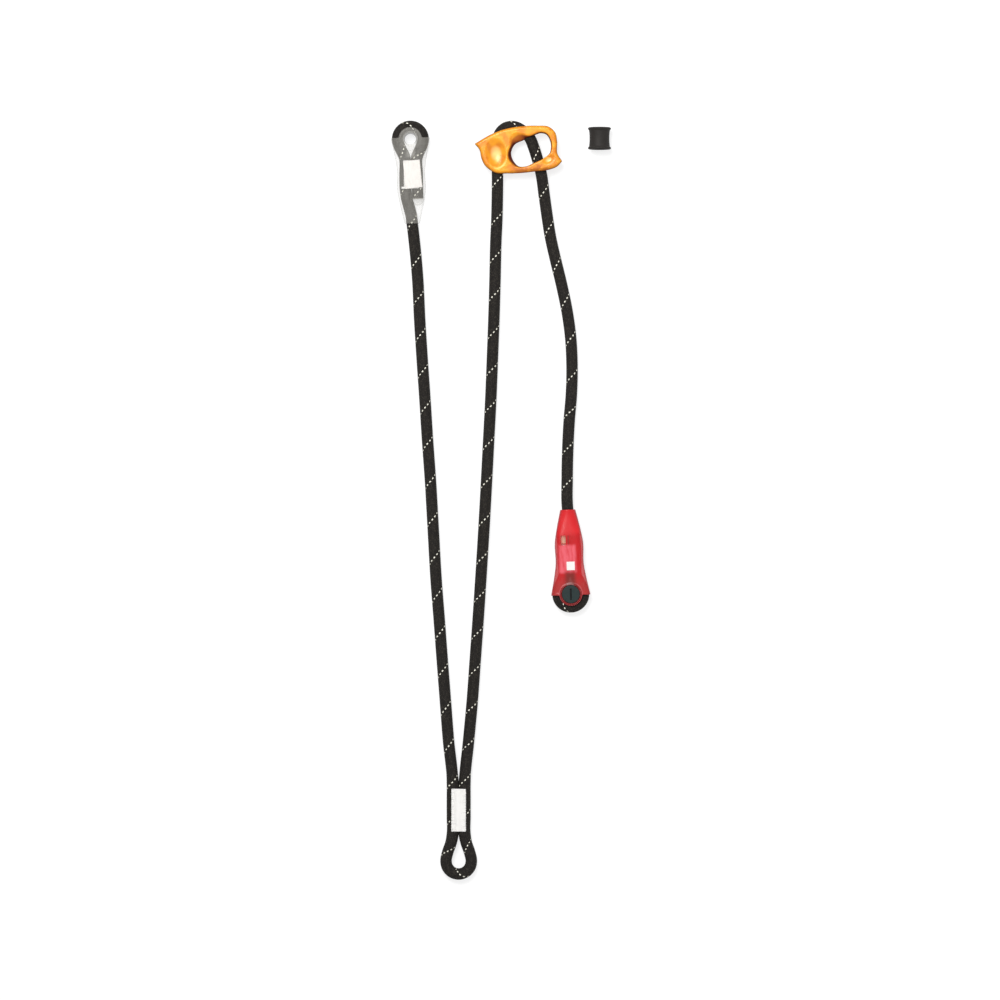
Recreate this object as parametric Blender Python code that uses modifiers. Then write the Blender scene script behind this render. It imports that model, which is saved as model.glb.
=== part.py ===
"""Y-shaped rope lanyard, lying flat: a sewn harness loop, a fixed arm with a covered eye, an adjustable arm
through a rope adjuster with a covered stopper at its end, and a loose keeper sleeve.

Metres. +Z up, away from the floor it lies on, +Y from the harness loop to the eye of the fixed arm.
The origin is at the middle of the bottom of the bounding box."""

import math

import bmesh
import bpy
from mathutils import Vector

# Rope and the clearance between pieces that touch
ROPE_DIAMETER = 0.0098
GAP = 0.0003
ROPE_SIDES = 4  # bevel_resolution of a rope's tube, for 12 sides
ROUND_SIDES = 32  # sides of a bore or a turned piece
ROPE_STEP = 2.0  # rope diameters between two points of a free stretch
BEND_STEP = 0.55  # rope diameters between two points of a held bend
SETTLE_LENGTH = 0.040  # over which a raised rope comes down to the floor

# Sewing
THREAD_DIAMETER = 0.0007
STITCH_WIDTH = 0.0130
STITCH_PITCH = 0.0017
CROTCH_DEPTH = 0.0050  # from where two strands meet to the thread's way through between them

# Harness loop, in its own frame: +Y from the loop to the neck
HARNESS_AT = (-0.0366, -0.3141)
LOOP_BEND_RADIUS = 0.0110
NECK_START = 0.0240
NECK_LENGTH = 0.0680
NECK_STITCH_START = 0.0265
NECK_BARE_END = 0.0050  # of the neck, past the last row of stitches

# Eyes and their covers, in their own frame: +Y from the eye to the mouth of the cover
FIXED_EYE_AT = (-0.0786, 0.3140)
FIXED_EYE_TURN = 181.28
STOPPER_AT = (0.0609, -0.0816)
STOPPER_TURN = 2.08
EYE_BORE_RADIUS = 0.0050
BUSH_WALL = 0.0009
EYE_WRAP = 22.0  # degrees that the rope follows the bush past a half circle
LEG_START = 0.0210
LEG_END = 0.0430
DEAD_TAIL = 0.0085  # of the cut end, past the last row of stitches
EYE_STITCH_EARLY = 0.0020  # rows that start before the strands meet
COVER_LENGTH = 0.0735
COVER_WALL = 0.0014
COVER_SIDE_WALL = 0.0019
COVER_EDGE = 0.0028
COVER_LIP = -0.0009
LIP_WALL = 0.0009
SHOULDER_AT = 0.0148
SHOULDER_EXTRA = 0.0017  # half width at the shoulder, past that of the straight sides
COVER_STEP = 0.0052
FLANGE_WIDTH = 0.0050
LABEL_WIDTH = 0.0160
LABEL_LENGTH = 0.0255
LABEL_THICKNESS = 0.0004
LABEL_SHIFT = 0.0012

# Plug of the stopper's eye
PLUG_LAP = 0.0028
PLUG_HEAD_THICKNESS = 0.0010
PLUG_SLOT_LENGTH = 0.0096
PLUG_SLOT_WIDTH = 0.0014
PLUG_SLOT_DEPTH = 0.0006

# Adjuster, in its own frame: the origin is the middle of the rope's bend
ADJUSTER_AT = (0.0076, 0.3125)
ADJUSTER_BACK_WALL = 0.0030
ADJUSTER_FRONT_WALL = 0.0044
ADJUSTER_EDGE = 0.0014
SCOOP_AT = (-0.0115, -0.0104)
SCOOP_RADII = (0.0085, 0.0104)
SCOOP_DEPTH = 0.0022
SCOOP_RISE = 0.0040  # of the cutting sphere's centre over the face
OUTLINE_STEP = 0.0040

# Keeper sleeve, a turned shape about its own Y axis
KEEPER_AT = (0.0858, 0.3145)
KEEPER_LENGTH = 0.0191
KEEPER_RIM_RADIUS = 0.0100
KEEPER_WAIST_RADIUS = 0.0086
KEEPER_BORE_RADIUS = 0.0068
KEEPER_BEAD = 0.0022

# Routes of the free stretches, between the ends that their neighbours set
FIXED_ARM_ROUTE = (
    (-0.0455, -0.2086), (-0.0482, -0.1738), (-0.0509, -0.1390),
    (-0.0535, -0.1042), (-0.0562, -0.0694), (-0.0587, -0.0259), (-0.0612, 0.0176),
    (-0.0637, 0.0524), (-0.0659, 0.0872), (-0.0683, 0.1220), (-0.0705, 0.1568),
    (-0.0722, 0.1916), (-0.0744, 0.2177),
)
ADJUSTABLE_ARM_ROUTE = (
    (-0.0279, -0.2086), (-0.0247, -0.1738), (-0.0222, -0.1390),
    (-0.0197, -0.1042), (-0.0174, -0.0694), (-0.0147, -0.0259), (-0.0123, 0.0176),
    (-0.0105, 0.0524), (-0.0087, 0.0872), (-0.0073, 0.1220), (-0.0060, 0.1568),
    (-0.0050, 0.1916), (-0.0042, 0.2264),
)
TAIL_ROUTE = (
    (0.0429, 0.2308), (0.0475, 0.2100), (0.0530, 0.1872), (0.0575, 0.1655),
    (0.0606, 0.1437), (0.0620, 0.1176), (0.0614, 0.0915), (0.0596, 0.0698),
    (0.0583, 0.0437), (0.0578, 0.0200),
)
BIGHT_ROUTE = (
    (-0.0110, -0.0684), (-0.0106, -0.0500), (-0.0104, -0.0287), (-0.0104, -0.0148), (-0.0104, -0.0009),
    (-0.0095, 0.0039), (-0.0069, 0.0085), (-0.0030, 0.0114), (0.0013, 0.0124), (0.0061, 0.0117),
    (0.0109, 0.0091), (0.0152, 0.0057), (0.0183, 0.0013), (0.0209, -0.0052), (0.0242, -0.0157),
    (0.0271, -0.0264), (0.0303, -0.0480), (0.0332, -0.0684),
)

# Outlines of the adjuster seen from the front; the two horn tips are corners
RING_OUTLINE = (
    (-0.0302, -0.0030), (-0.0151, 0.0056), (-0.0049, 0.0095), (0.0090, 0.0120), (0.0235, 0.0127),
    (0.0345, 0.0116), (0.0398, 0.0066), (0.0413, -0.0005), (0.0418, -0.0120), (0.0457, -0.0180),
    (0.0415, -0.0224), (0.0330, -0.0256), (0.0210, -0.0270), (0.0100, -0.0282), (-0.0013, -0.0285),
    (-0.0125, -0.0280), (-0.0170, -0.0255), (-0.0217, -0.0211), (-0.0244, -0.0155), (-0.0262, -0.0078),
)
RING_CORNERS = (0, 9)
HOLE_OUTLINE = (
    (0.0018, -0.0105), (0.0046, -0.0036), (0.0120, 0.0002), (0.0209, 0.0042), (0.0271, 0.0064),
    (0.0318, 0.0053), (0.0351, 0.0002), (0.0359, -0.0061), (0.0349, -0.0106), (0.0298, -0.0150),
    (0.0209, -0.0194), (0.0137, -0.0223), (0.0082, -0.0221), (0.0040, -0.0178),
)
BLOCK_OUTLINE = (
    (-0.0238, -0.0085), (-0.0195, -0.0010), (-0.0130, 0.0035), (-0.0040, 0.0074), (0.0060, 0.0096),
    (0.0088, 0.0060), (0.0075, 0.0006), (0.0034, -0.0028), (0.0004, -0.0105), (0.0024, -0.0182),
    (0.0052, -0.0232), (0.0048, -0.0268), (-0.0013, -0.0273), (-0.0120, -0.0268), (-0.0160, -0.0246),
    (-0.0207, -0.0203), (-0.0230, -0.0150),
)

# What follows from the values above
ROPE_RADIUS = ROPE_DIAMETER / 2
CHANNEL_RADIUS = ROPE_RADIUS + GAP
STRAND_OFFSET = ROPE_RADIUS + GAP
STITCH_HEIGHT = ROPE_RADIUS + GAP + THREAD_DIAMETER / 2
STITCH_TOP = STITCH_HEIGHT + THREAD_DIAMETER / 2
HARNESS_HEIGHT = STITCH_TOP
NECK_STITCH = (NECK_STITCH_START, NECK_LENGTH - NECK_BARE_END)
EYE_BEND_RADIUS = EYE_BORE_RADIUS + BUSH_WALL + GAP + ROPE_RADIUS
EYE_STITCH = (LEG_START - EYE_STITCH_EARLY, LEG_END)
DEAD_END = LEG_END + DEAD_TAIL
LABEL_MIDDLE = sum(EYE_STITCH) / 2
LABEL_BOTTOM = STITCH_TOP + GAP
POCKET_HALF_WIDTH = max(STITCH_WIDTH / 2, LABEL_WIDTH / 2 + LABEL_SHIFT) + GAP
POCKET_START = min(LEG_START - CROTCH_DEPTH - THREAD_DIAMETER, LABEL_MIDDLE - LABEL_LENGTH / 2) - GAP
POCKET_END = max(LEG_END + THREAD_DIAMETER, LABEL_MIDDLE + LABEL_LENGTH / 2) + GAP
POCKET_TOP = LABEL_BOTTOM + LABEL_THICKNESS + GAP
COVER_BACK = STITCH_TOP + GAP + COVER_WALL
COVER_FRONT = POCKET_TOP + COVER_WALL
COVER_FLARE = EYE_BEND_RADIUS + CHANNEL_RADIUS + LIP_WALL
COVER_HALF_WIDTH = STRAND_OFFSET + CHANNEL_RADIUS + COVER_SIDE_WALL
MOUTH_RADIUS = CHANNEL_RADIUS + COVER_WALL
FLANGE_RADIUS = EYE_BORE_RADIUS + FLANGE_WIDTH
PLUG_HEAD_RADIUS = EYE_BORE_RADIUS + PLUG_LAP
TUNNEL_HEIGHT = ADJUSTER_BACK_WALL + CHANNEL_RADIUS
ADJUSTER_TOP = TUNNEL_HEIGHT + CHANNEL_RADIUS + ADJUSTER_FRONT_WALL
BLOCK_TOP = ADJUSTER_TOP - ADJUSTER_FRONT_WALL / 2
ADJUSTER_FOOT = min(y for _, y in RING_OUTLINE)


def clear_scene():
    """An empty scene, whatever file this runs in."""
    for leftover in list(bpy.data.objects):
        bpy.data.objects.remove(leftover, do_unlink=True)


def new_collection(name):
    """A collection under the scene's own."""
    collection = bpy.data.collections.new(name)
    bpy.context.scene.collection.children.link(collection)
    return collection


def new_material(name, colour, roughness, metallic=0.0, alpha=1.0):
    """A Principled material of one colour."""
    material = bpy.data.materials.new(name)
    material.use_nodes = True
    shader = material.node_tree.nodes["Principled BSDF"]
    shader.inputs["Base Color"].default_value = (*colour, 1.0)
    shader.inputs["Roughness"].default_value = roughness
    shader.inputs["Metallic"].default_value = metallic
    shader.inputs["Alpha"].default_value = alpha
    return material


def new_frame(name, place, height, turn=0.0):
    """An empty that carries the pieces of one end of the lanyard."""
    frame = bpy.data.objects.new(name, None)
    frame.empty_display_size = 0.01
    frame.location = (*place, height)
    frame.rotation_euler = (0.0, 0.0, math.radians(turn))
    PARTS.objects.link(frame)
    bpy.context.view_layer.update()
    return frame


def place(solid, frame, material=None):
    """Puts a finished piece in its frame with its material, or a cutter where material is left out."""
    if material is None:
        CUTTERS.objects.link(solid)
        solid.hide_render = True
        solid.display_type = "WIRE"
    else:
        PARTS.objects.link(solid)
        solid.data.materials.clear()
        solid.data.materials.append(material)
    solid.parent = frame
    return solid


def smooth_step(share):
    """0 up to share 0, 1 from share 1, with no kink between."""
    share = min(1.0, max(0.0, share))
    return share * share * (3.0 - 2.0 * share)


def smooth(points, step, closed=False):
    """Points an even step apart on one smooth curve through the given points."""
    knots = [Vector(point) for point in points] + ([Vector(points[0])] if closed else [])
    spans = [(b - a).length for a, b in zip(knots, knots[1:])]
    runs = [(b - a) / span for a, b, span in zip(knots, knots[1:], spans)]
    first, last = (runs[-1], runs[0]) if closed else (runs[0], runs[-1])
    low_runs, high_runs = [first] + runs, runs + [last]
    low_spans, high_spans = [spans[-1]] + spans, spans + [spans[0]]
    slopes = [
        (low_run * high + high_run * low) / (low + high)
        for low_run, high_run, low, high in zip(low_runs, high_runs, low_spans, high_spans)
    ]
    samples = 16
    fine = [knots[0]]
    for index, span in enumerate(spans):
        for k in range(1, samples + 1):
            t = k / samples
            fine.append(
                knots[index] * (2 * t**3 - 3 * t**2 + 1)
                + slopes[index] * span * (t**3 - 2 * t**2 + t)
                + knots[index + 1] * (3 * t**2 - 2 * t**3)
                + slopes[index + 1] * span * (t**3 - t**2)
            )
    lengths = [(b - a).length for a, b in zip(fine, fine[1:])]
    count = max(2, round(sum(lengths) / step))
    even = [fine[0]]
    travelled, wanted = 0.0, sum(lengths) / count
    for start, end, length in zip(fine, fine[1:], lengths):
        while travelled + length >= wanted * len(even) and len(even) < count:
            even.append(start.lerp(end, (wanted * len(even) - travelled) / length))
        travelled += length
    return even if closed else even + [fine[-1]]


def curve_object(name, point_lists, cyclic=False):
    """A curve object with one POLY spline for each list of points."""
    curve = bpy.data.curves.new(name, "CURVE")
    for points in point_lists:
        spline = curve.splines.new("POLY")
        spline.points.add(len(points) - 1)
        for target, point in zip(spline.points, points):
            x, y, *z = point
            target.co = (x, y, z[0] if z else 0.0, 1.0)
        spline.use_cyclic_u = cyclic
    return bpy.data.objects.new(name, curve)


def tube(name, point_lists, radius, resolution=ROPE_SIDES):
    """A round tube with filled caps along each list of points."""
    solid = curve_object(name, point_lists)
    solid.data.dimensions = "3D"
    solid.data.bevel_depth = radius
    solid.data.bevel_resolution = resolution
    solid.data.use_fill_caps = True
    return solid


def plate(name, outline, low, high, edge, corners=3):
    """A flat piece of the outline between two heights, with its edges rounded by edge."""
    solid = curve_object(name, [outline], cyclic=True)
    solid.data.dimensions = "2D"
    solid.data.fill_mode = "BOTH"
    solid.data.extrude = (high - low) / 2 - edge
    solid.data.bevel_depth = edge
    solid.data.bevel_resolution = corners - 1
    solid.data.offset = -edge
    solid.location.z = (low + high) / 2
    return solid


def as_mesh(curve):
    """The curve's solid as a mesh with its caps welded; the curve is removed."""
    PARTS.objects.link(curve)
    bpy.context.view_layer.update()
    evaluated = curve.evaluated_get(bpy.context.evaluated_depsgraph_get())
    mesh = bpy.data.meshes.new_from_object(evaluated)
    mesh.transform(curve.matrix_world)
    work = bmesh.new()
    work.from_mesh(mesh)
    bmesh.ops.remove_doubles(work, verts=work.verts, dist=1e-6)
    bmesh.ops.recalc_face_normals(work, faces=work.faces)
    work.to_mesh(mesh)
    work.free()
    name = curve.name
    bpy.data.objects.remove(curve, do_unlink=True)
    mesh.name = name
    return bpy.data.objects.new(name, mesh)


def primitive(name, build, location=(0.0, 0.0, 0.0), size=(1.0, 1.0, 1.0)):
    """A mesh object that build fills, stretched by size and moved to location."""
    work = bmesh.new()
    build(work)
    bmesh.ops.scale(work, vec=size, verts=work.verts)
    bmesh.ops.translate(work, vec=location, verts=work.verts)
    mesh = bpy.data.meshes.new(name)
    work.to_mesh(mesh)
    work.free()
    return bpy.data.objects.new(name, mesh)


def box(name, low, high):
    """A block between two corners."""
    middle = [(a + b) / 2 for a, b in zip(low, high)]
    size = [b - a for a, b in zip(low, high)]
    return primitive(name, lambda work: bmesh.ops.create_cube(work, size=1.0), middle, size)


def rod(name, radius, low, high):
    """A round bar along Z between two heights."""

    def build(work):
        bmesh.ops.create_cone(
            work, cap_ends=True, segments=ROUND_SIDES, radius1=radius, radius2=radius, depth=high - low
        )

    return primitive(name, build, (0.0, 0.0, (low + high) / 2))


def combine(solid, other, operation="DIFFERENCE"):
    """Cuts other from solid, or joins the two; a channel's two legs may run into each other."""
    modifier = solid.modifiers.new(other.name, "BOOLEAN")
    modifier.operation = operation
    modifier.solver = "EXACT"
    modifier.use_self = True
    modifier.object = other


def round_shading(solid, angle=35.0):
    """Smooth shading with edges past the angle kept sharp."""
    solid.data.shade_smooth()
    solid.data.set_sharp_from_angle(angle=math.radians(angle))


def zigzag(width, start, end, height):
    """Back and forth rows of one thread, a pitch apart, across two strands of rope."""
    rows = max(2, int((end - start) / STITCH_PITCH))
    pitch = (end - start) / rows
    points = []
    for row in range(rows + 1):
        side = width / 2 if row % 2 else -width / 2
        y = start + row * pitch
        points += [(side, y, height), (-side, y, height)]
    return points


def stitching(name, span, strands_meet, frame):
    """One thread: rows on the front of two strands, through the crotch between them, and rows on the back."""
    start, end = span
    width = STITCH_WIDTH - THREAD_DIAMETER
    front = zigzag(width, start, end, STITCH_HEIGHT)[::-1]
    crotch = strands_meet - CROTCH_DEPTH
    through = [(0.0, crotch, STITCH_HEIGHT), (0.0, crotch, 0.0), (0.0, crotch, -STITCH_HEIGHT)]
    back = zigzag(width, start, end, -STITCH_HEIGHT)
    return place(tube(name, [front + through + back], THREAD_DIAMETER / 2, resolution=0), frame, THREAD)


def loop_route():
    """The harness loop's centre line from one top end of the neck round the loop to the other."""
    arc = [
        (LOOP_BEND_RADIUS * math.cos(angle), LOOP_BEND_RADIUS * math.sin(angle))
        for angle in (math.radians(180 + 22.5 * k) for k in range(9))
    ]
    right = []
    for share in (0.35, 0.68, 1.0):
        draw_in = (LOOP_BEND_RADIUS - STRAND_OFFSET) * smooth_step(share)
        right.append((LOOP_BEND_RADIUS - draw_in, share * NECK_START))
    straight = (NECK_LENGTH - NECK_START) / 3
    right += [(STRAND_OFFSET, NECK_START + straight * k) for k in (1, 2, 3)]
    left = [(-x, y) for x, y in reversed(right)]
    return smooth([(x, y, 0.0) for x, y in left + arc + right], BEND_STEP * ROPE_DIAMETER)


def harness_loop():
    """The sewn loop that the harness end of the rope makes."""
    frame = new_frame("harness_frame", HARNESS_AT, HARNESS_HEIGHT)
    place(tube("harness_loop_rope", [loop_route()], ROPE_RADIUS), frame, ROPE)
    stitching("harness_stitching", NECK_STITCH, NECK_START, frame)
    return frame


def eye_route(past_dead_end=0.0, past_mouth=0.0):
    """An eye's centre line from the cut end, round the bush, to the middle of the cover's mouth."""
    arc = []
    steps = 12
    for k in range(steps + 1):
        angle = math.radians(180 - EYE_WRAP + (180 + 2 * EYE_WRAP) * k / steps)
        arc.append((EYE_BEND_RADIUS * math.cos(angle), EYE_BEND_RADIUS * math.sin(angle)))
    middle = (LEG_START + LEG_END) / 2
    dead_leg = [(-STRAND_OFFSET, y) for y in (DEAD_END + past_dead_end, LEG_END, middle, LEG_START)]
    running_leg = [(STRAND_OFFSET, y) for y in (LEG_START, middle)]
    for share in (0.0, 0.25, 0.5, 0.75, 1.0):
        y = LEG_END + (COVER_LENGTH - LEG_END) * share
        running_leg.append((STRAND_OFFSET * (1 - smooth_step(share)), y))
    if past_mouth:
        running_leg.append((0.0, COVER_LENGTH + past_mouth))
    points = [(x, y, 0.0) for x, y in dead_leg + arc + running_leg]
    return smooth(points, BEND_STEP * ROPE_DIAMETER)


def cover_outline():
    """The cover seen from the front: flared at the lip, straight along the legs, drawn in at the mouth."""
    corners = (
        (COVER_FLARE, COVER_LIP, 0.0),
        (COVER_HALF_WIDTH + SHOULDER_EXTRA, SHOULDER_AT, 0.0),
        (COVER_HALF_WIDTH, LEG_START + ROPE_RADIUS, 0.0),
        (COVER_HALF_WIDTH, LEG_END + ROPE_RADIUS / 2, 0.0),
        (STRAND_OFFSET + CHANNEL_RADIUS, DEAD_END + CHANNEL_RADIUS, 0.0),
        (MOUTH_RADIUS, COVER_LENGTH, 0.0),
    )
    side = smooth(corners, COVER_STEP)
    flange_start = math.asin(COVER_LIP / FLANGE_RADIUS)
    flange = []
    steps = 14
    for k in range(steps + 1):
        angle = math.pi - flange_start + (math.pi + 2 * flange_start) * k / steps
        flange.append((FLANGE_RADIUS * math.cos(angle), FLANGE_RADIUS * math.sin(angle)))
    right = [(point.x, point.y) for point in side]
    left = [(-x, y) for x, y in reversed(right)]
    return flange + right + left


def eye_cover(name, frame, material):
    """The moulded cover: the rope's channel, a pocket for sewing and label, and the bush through the eye."""
    cover = as_mesh(plate(name, cover_outline(), -COVER_BACK, COVER_FRONT, COVER_EDGE))
    channel_route = eye_route(4 * GAP, ROPE_DIAMETER)
    channel = place(as_mesh(tube(name + "_channel", [channel_route], CHANNEL_RADIUS)), frame)
    pocket_low = (-POCKET_HALF_WIDTH, POCKET_START, -STITCH_TOP - GAP)
    pocket_high = (POCKET_HALF_WIDTH, POCKET_END, POCKET_TOP)
    pocket = place(box(name + "_pocket", pocket_low, pocket_high), frame)
    bore = place(rod(name + "_bore", EYE_BORE_RADIUS, -2 * COVER_BACK, 2 * COVER_FRONT), frame)
    place(cover, frame, material)
    for cutter in (channel, pocket, bore):
        combine(cover, cutter)
    round_shading(cover)
    return cover


def eye_label(name, frame):
    """A blank strip that lies on the sewing, under the front wall of the cover."""
    low = (-LABEL_SHIFT - LABEL_WIDTH / 2, LABEL_MIDDLE - LABEL_LENGTH / 2, LABEL_BOTTOM)
    high = (LABEL_WIDTH / 2 - LABEL_SHIFT, LABEL_MIDDLE + LABEL_LENGTH / 2, LABEL_BOTTOM + LABEL_THICKNESS)
    return place(box(name, low, high), frame, LABEL)


def covered_eye(prefix, at, turn, cover_material):
    """One sewn end of the rope with its cover: the same mould at the fixed arm and at the stopper."""
    frame = new_frame(prefix + "_frame", at, COVER_BACK, turn)
    place(tube(prefix + "_rope", [eye_route()], ROPE_RADIUS), frame, ROPE)
    stitching(prefix + "_stitching", EYE_STITCH, LEG_START, frame)
    cover = eye_cover(prefix + "_cover", frame, cover_material)
    eye_label(prefix + "_label", frame)
    return frame, cover


def eye_plug(frame, cover):
    """The rubber plug that closes the stopper's eye, its two heads let into the cover."""
    seat_radius = PLUG_HEAD_RADIUS + GAP
    for name, low, high in (
        ("stopper_front_seat", COVER_FRONT - PLUG_HEAD_THICKNESS - GAP, 2 * COVER_FRONT),
        ("stopper_back_seat", -2 * COVER_BACK, -COVER_BACK + PLUG_HEAD_THICKNESS + GAP),
    ):
        combine(cover, place(rod(name, seat_radius, low, high), frame))
    shank = EYE_BORE_RADIUS - GAP
    top, bottom = COVER_FRONT, -COVER_BACK
    profile = (
        (0.0, top), (PLUG_HEAD_RADIUS - GAP, top), (PLUG_HEAD_RADIUS, top - GAP),
        (PLUG_HEAD_RADIUS, top - PLUG_HEAD_THICKNESS), (shank, top - PLUG_HEAD_THICKNESS),
        (shank, bottom + PLUG_HEAD_THICKNESS), (PLUG_HEAD_RADIUS, bottom + PLUG_HEAD_THICKNESS),
        (PLUG_HEAD_RADIUS, bottom), (0.0, bottom),
    )
    plug = turned("stopper_eye_plug", [(r, 0.0, z) for r, z in profile], "Z")
    slot_low = (-PLUG_SLOT_WIDTH / 2, -PLUG_SLOT_LENGTH / 2, top - PLUG_SLOT_DEPTH)
    slot_high = (PLUG_SLOT_WIDTH / 2, PLUG_SLOT_LENGTH / 2, 2 * top)
    combine(plug, place(box("plug_slot", slot_low, slot_high), frame))
    place(plug, frame, PLUG_RUBBER)


def turned(name, profile, axis, closed=False):
    """A profile turned about its own axis."""
    mesh = bpy.data.meshes.new(name)
    count = len(profile)
    edges = [(k, k + 1) for k in range(count - 1)] + ([(count - 1, 0)] if closed else [])
    mesh.from_pydata(profile, edges, [])
    solid = bpy.data.objects.new(name, mesh)
    screw = solid.modifiers.new("turn", "SCREW")
    screw.axis = axis
    screw.steps = screw.render_steps = ROUND_SIDES
    screw.use_merge_vertices = True
    screw.merge_threshold = 1e-6
    screw.use_smooth_shade = True
    return solid


def scoop():
    """The ball that presses the thumb's dish into the front face, at the dish's radii there."""
    height = SCOOP_RISE + SCOOP_DEPTH
    spread = 1 / math.sqrt(1 - (SCOOP_RISE / height) ** 2)
    return primitive(
        "adjuster_scoop",
        lambda work: bmesh.ops.create_uvsphere(work, u_segments=24, v_segments=12, radius=1.0),
        (*SCOOP_AT, ADJUSTER_TOP + SCOOP_RISE),
        (SCOOP_RADII[0] * spread, SCOOP_RADII[1] * spread, height),
    )


def adjuster():
    """The one-piece forging, and the rope's bend through its tunnel, over its top and behind its hole."""
    frame = new_frame("adjuster_frame", ADJUSTER_AT, 0.0)
    ring = outline_through(RING_OUTLINE, RING_CORNERS)
    body = as_mesh(plate("adjuster_body", ring, TUNNEL_HEIGHT, ADJUSTER_TOP, ADJUSTER_EDGE))
    block = as_mesh(plate("adjuster_block", outline_through(BLOCK_OUTLINE), 0.0, BLOCK_TOP, ADJUSTER_EDGE))
    hole_low, hole_high = -ADJUSTER_TOP, 2 * ADJUSTER_TOP
    hole = as_mesh(plate("adjuster_hole", outline_through(HOLE_OUTLINE), hole_low, hole_high, GAP))
    channel = as_mesh(tube("adjuster_channel", [bight_route()], CHANNEL_RADIUS))
    combine(body, place(block, frame), "UNION")
    for cutter in (hole, channel, scoop()):
        combine(body, place(cutter, frame))
    place(body, frame, ANODISED)
    round_shading(body)
    place(tube("adjuster_bight_rope", [bight_route()], ROPE_RADIUS), frame, ROPE)
    return frame


def outline_through(points, corners=()):
    """A closed outline through the points, smooth but for the corners."""
    points = [(x, y, 0.0) for x, y in points]
    if not corners:
        outline = smooth(points, OUTLINE_STEP, closed=True)
    else:
        outline = []
        for start, end in zip(corners, corners[1:] + (corners[0] + len(points),)):
            run = [points[k % len(points)] for k in range(start, end + 1)]
            outline += smooth(run, OUTLINE_STEP)[:-1]
    return [(point.x, point.y) for point in outline]


def bight_route():
    """The bend's centre line, raised inside the adjuster and down on the floor at both ends."""
    route = smooth([(x, y, TUNNEL_HEIGHT) for x, y in BIGHT_ROUTE], BEND_STEP * ROPE_DIAMETER)
    for point in route:
        drop = smooth_step((ADJUSTER_FOOT - point.y) / (SETTLE_LENGTH - ROPE_DIAMETER))
        point.z += (ROPE_RADIUS - TUNNEL_HEIGHT) * drop
    return route


def free_stretch(name, start, route, end):
    """A free stretch of rope on the floor between two neighbours, each a point and the way out of it."""
    run = ROPE_RADIUS
    (first, out), (last, back) = start, end
    points = [Vector((x, y, ROPE_RADIUS)) for x, y in route]
    points = [first, first + out * run] + points + [last + back * run, last]
    middle = smooth(points, ROPE_STEP * ROPE_DIAMETER)[1:-1]
    for point in middle:
        point.z = ROPE_RADIUS
        for mate in (first, last):
            distance = (point.xy - mate.xy).length - run
            point.z += (mate.z - ROPE_RADIUS) * (1 - smooth_step(distance / SETTLE_LENGTH))
    square_ends = [first, first + out * run] + middle + [last + back * run, last]
    return place(tube(name, [square_ends], ROPE_RADIUS), None, ROPE)


def keeper():
    """The loose rubber sleeve with a bead at either rim."""
    frame = new_frame("keeper_frame", KEEPER_AT, KEEPER_RIM_RADIUS)
    half = KEEPER_LENGTH / 2
    outside = []
    steps = 6
    for k in range(steps + 1):
        y = half - KEEPER_BEAD - (KEEPER_LENGTH - 2 * KEEPER_BEAD) * k / steps
        draw_in = 1 - (y / (half - KEEPER_BEAD)) ** 2
        shoulder = KEEPER_RIM_RADIUS - GAP
        outside.append((shoulder - (shoulder - KEEPER_WAIST_RADIUS) * draw_in, y, 0.0))
    rim = [
        (KEEPER_RIM_RADIUS - KEEPER_BEAD / 3, half, 0.0),
        (KEEPER_RIM_RADIUS, half - KEEPER_BEAD / 3, 0.0),
        (KEEPER_RIM_RADIUS, half - KEEPER_BEAD * 2 / 3, 0.0),
    ]
    foot = [(x, -y, 0.0) for x, y, _ in reversed(rim)]
    bore = [(KEEPER_BORE_RADIUS, -half, 0.0), (KEEPER_BORE_RADIUS, half, 0.0)]
    sleeve = turned("keeper", rim + outside + foot + bore, "Y", closed=True)
    place(sleeve, frame, KEEPER_RUBBER)


def end_of(frame, route, last=True):
    """The end of a held rope, as the point a gap past it and the way out of it, both in the world."""
    end, before = (route[-1], route[-2]) if last else (route[0], route[1])
    out = Vector((end.x - before.x, end.y - before.y, 0.0)).normalized()
    return frame.matrix_world @ (end + out * GAP), frame.matrix_world.to_3x3() @ out


clear_scene()
PARTS = new_collection("rope_lanyard")
CUTTERS = new_collection("cutters")
ROPE = new_material("rope", (0.030, 0.026, 0.026), 0.85)
THREAD = new_material("thread", (0.85, 0.84, 0.80), 0.75)
LABEL = new_material("label", (0.88, 0.87, 0.84), 0.60)
CLEAR_COVER = new_material("clear_cover", (0.80, 0.79, 0.76), 0.35, alpha=0.45)
RED_COVER = new_material("red_cover", (0.75, 0.05, 0.05), 0.35)
PLUG_RUBBER = new_material("plug_rubber", (0.030, 0.035, 0.035), 0.55)
KEEPER_RUBBER = new_material("keeper_rubber", (0.040, 0.036, 0.034), 0.60)
ANODISED = new_material("anodised", (0.90, 0.38, 0.03), 0.35, metallic=1.0)

harness_frame = harness_loop()
fixed_eye_frame, fixed_eye_cover = covered_eye("fixed_eye", FIXED_EYE_AT, FIXED_EYE_TURN, CLEAR_COVER)
stopper_frame, stopper_cover = covered_eye("stopper_eye", STOPPER_AT, STOPPER_TURN, RED_COVER)
eye_plug(stopper_frame, stopper_cover)
adjuster_frame = adjuster()
keeper()

bpy.context.view_layer.update()
loop, bight, eye = loop_route(), bight_route(), eye_route()
free_stretch(
    "fixed_arm_rope", end_of(harness_frame, loop, last=False), FIXED_ARM_ROUTE, end_of(fixed_eye_frame, eye)
)
free_stretch(
    "adjustable_arm_rope", end_of(harness_frame, loop), ADJUSTABLE_ARM_ROUTE,
    end_of(adjuster_frame, bight, last=False),
)
free_stretch("tail_rope", end_of(adjuster_frame, bight), TAIL_ROUTE, end_of(stopper_frame, eye))
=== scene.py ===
"""Looks of a Y-shaped rope lanyard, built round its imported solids. Metres, +Z up from the floor."""

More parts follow.
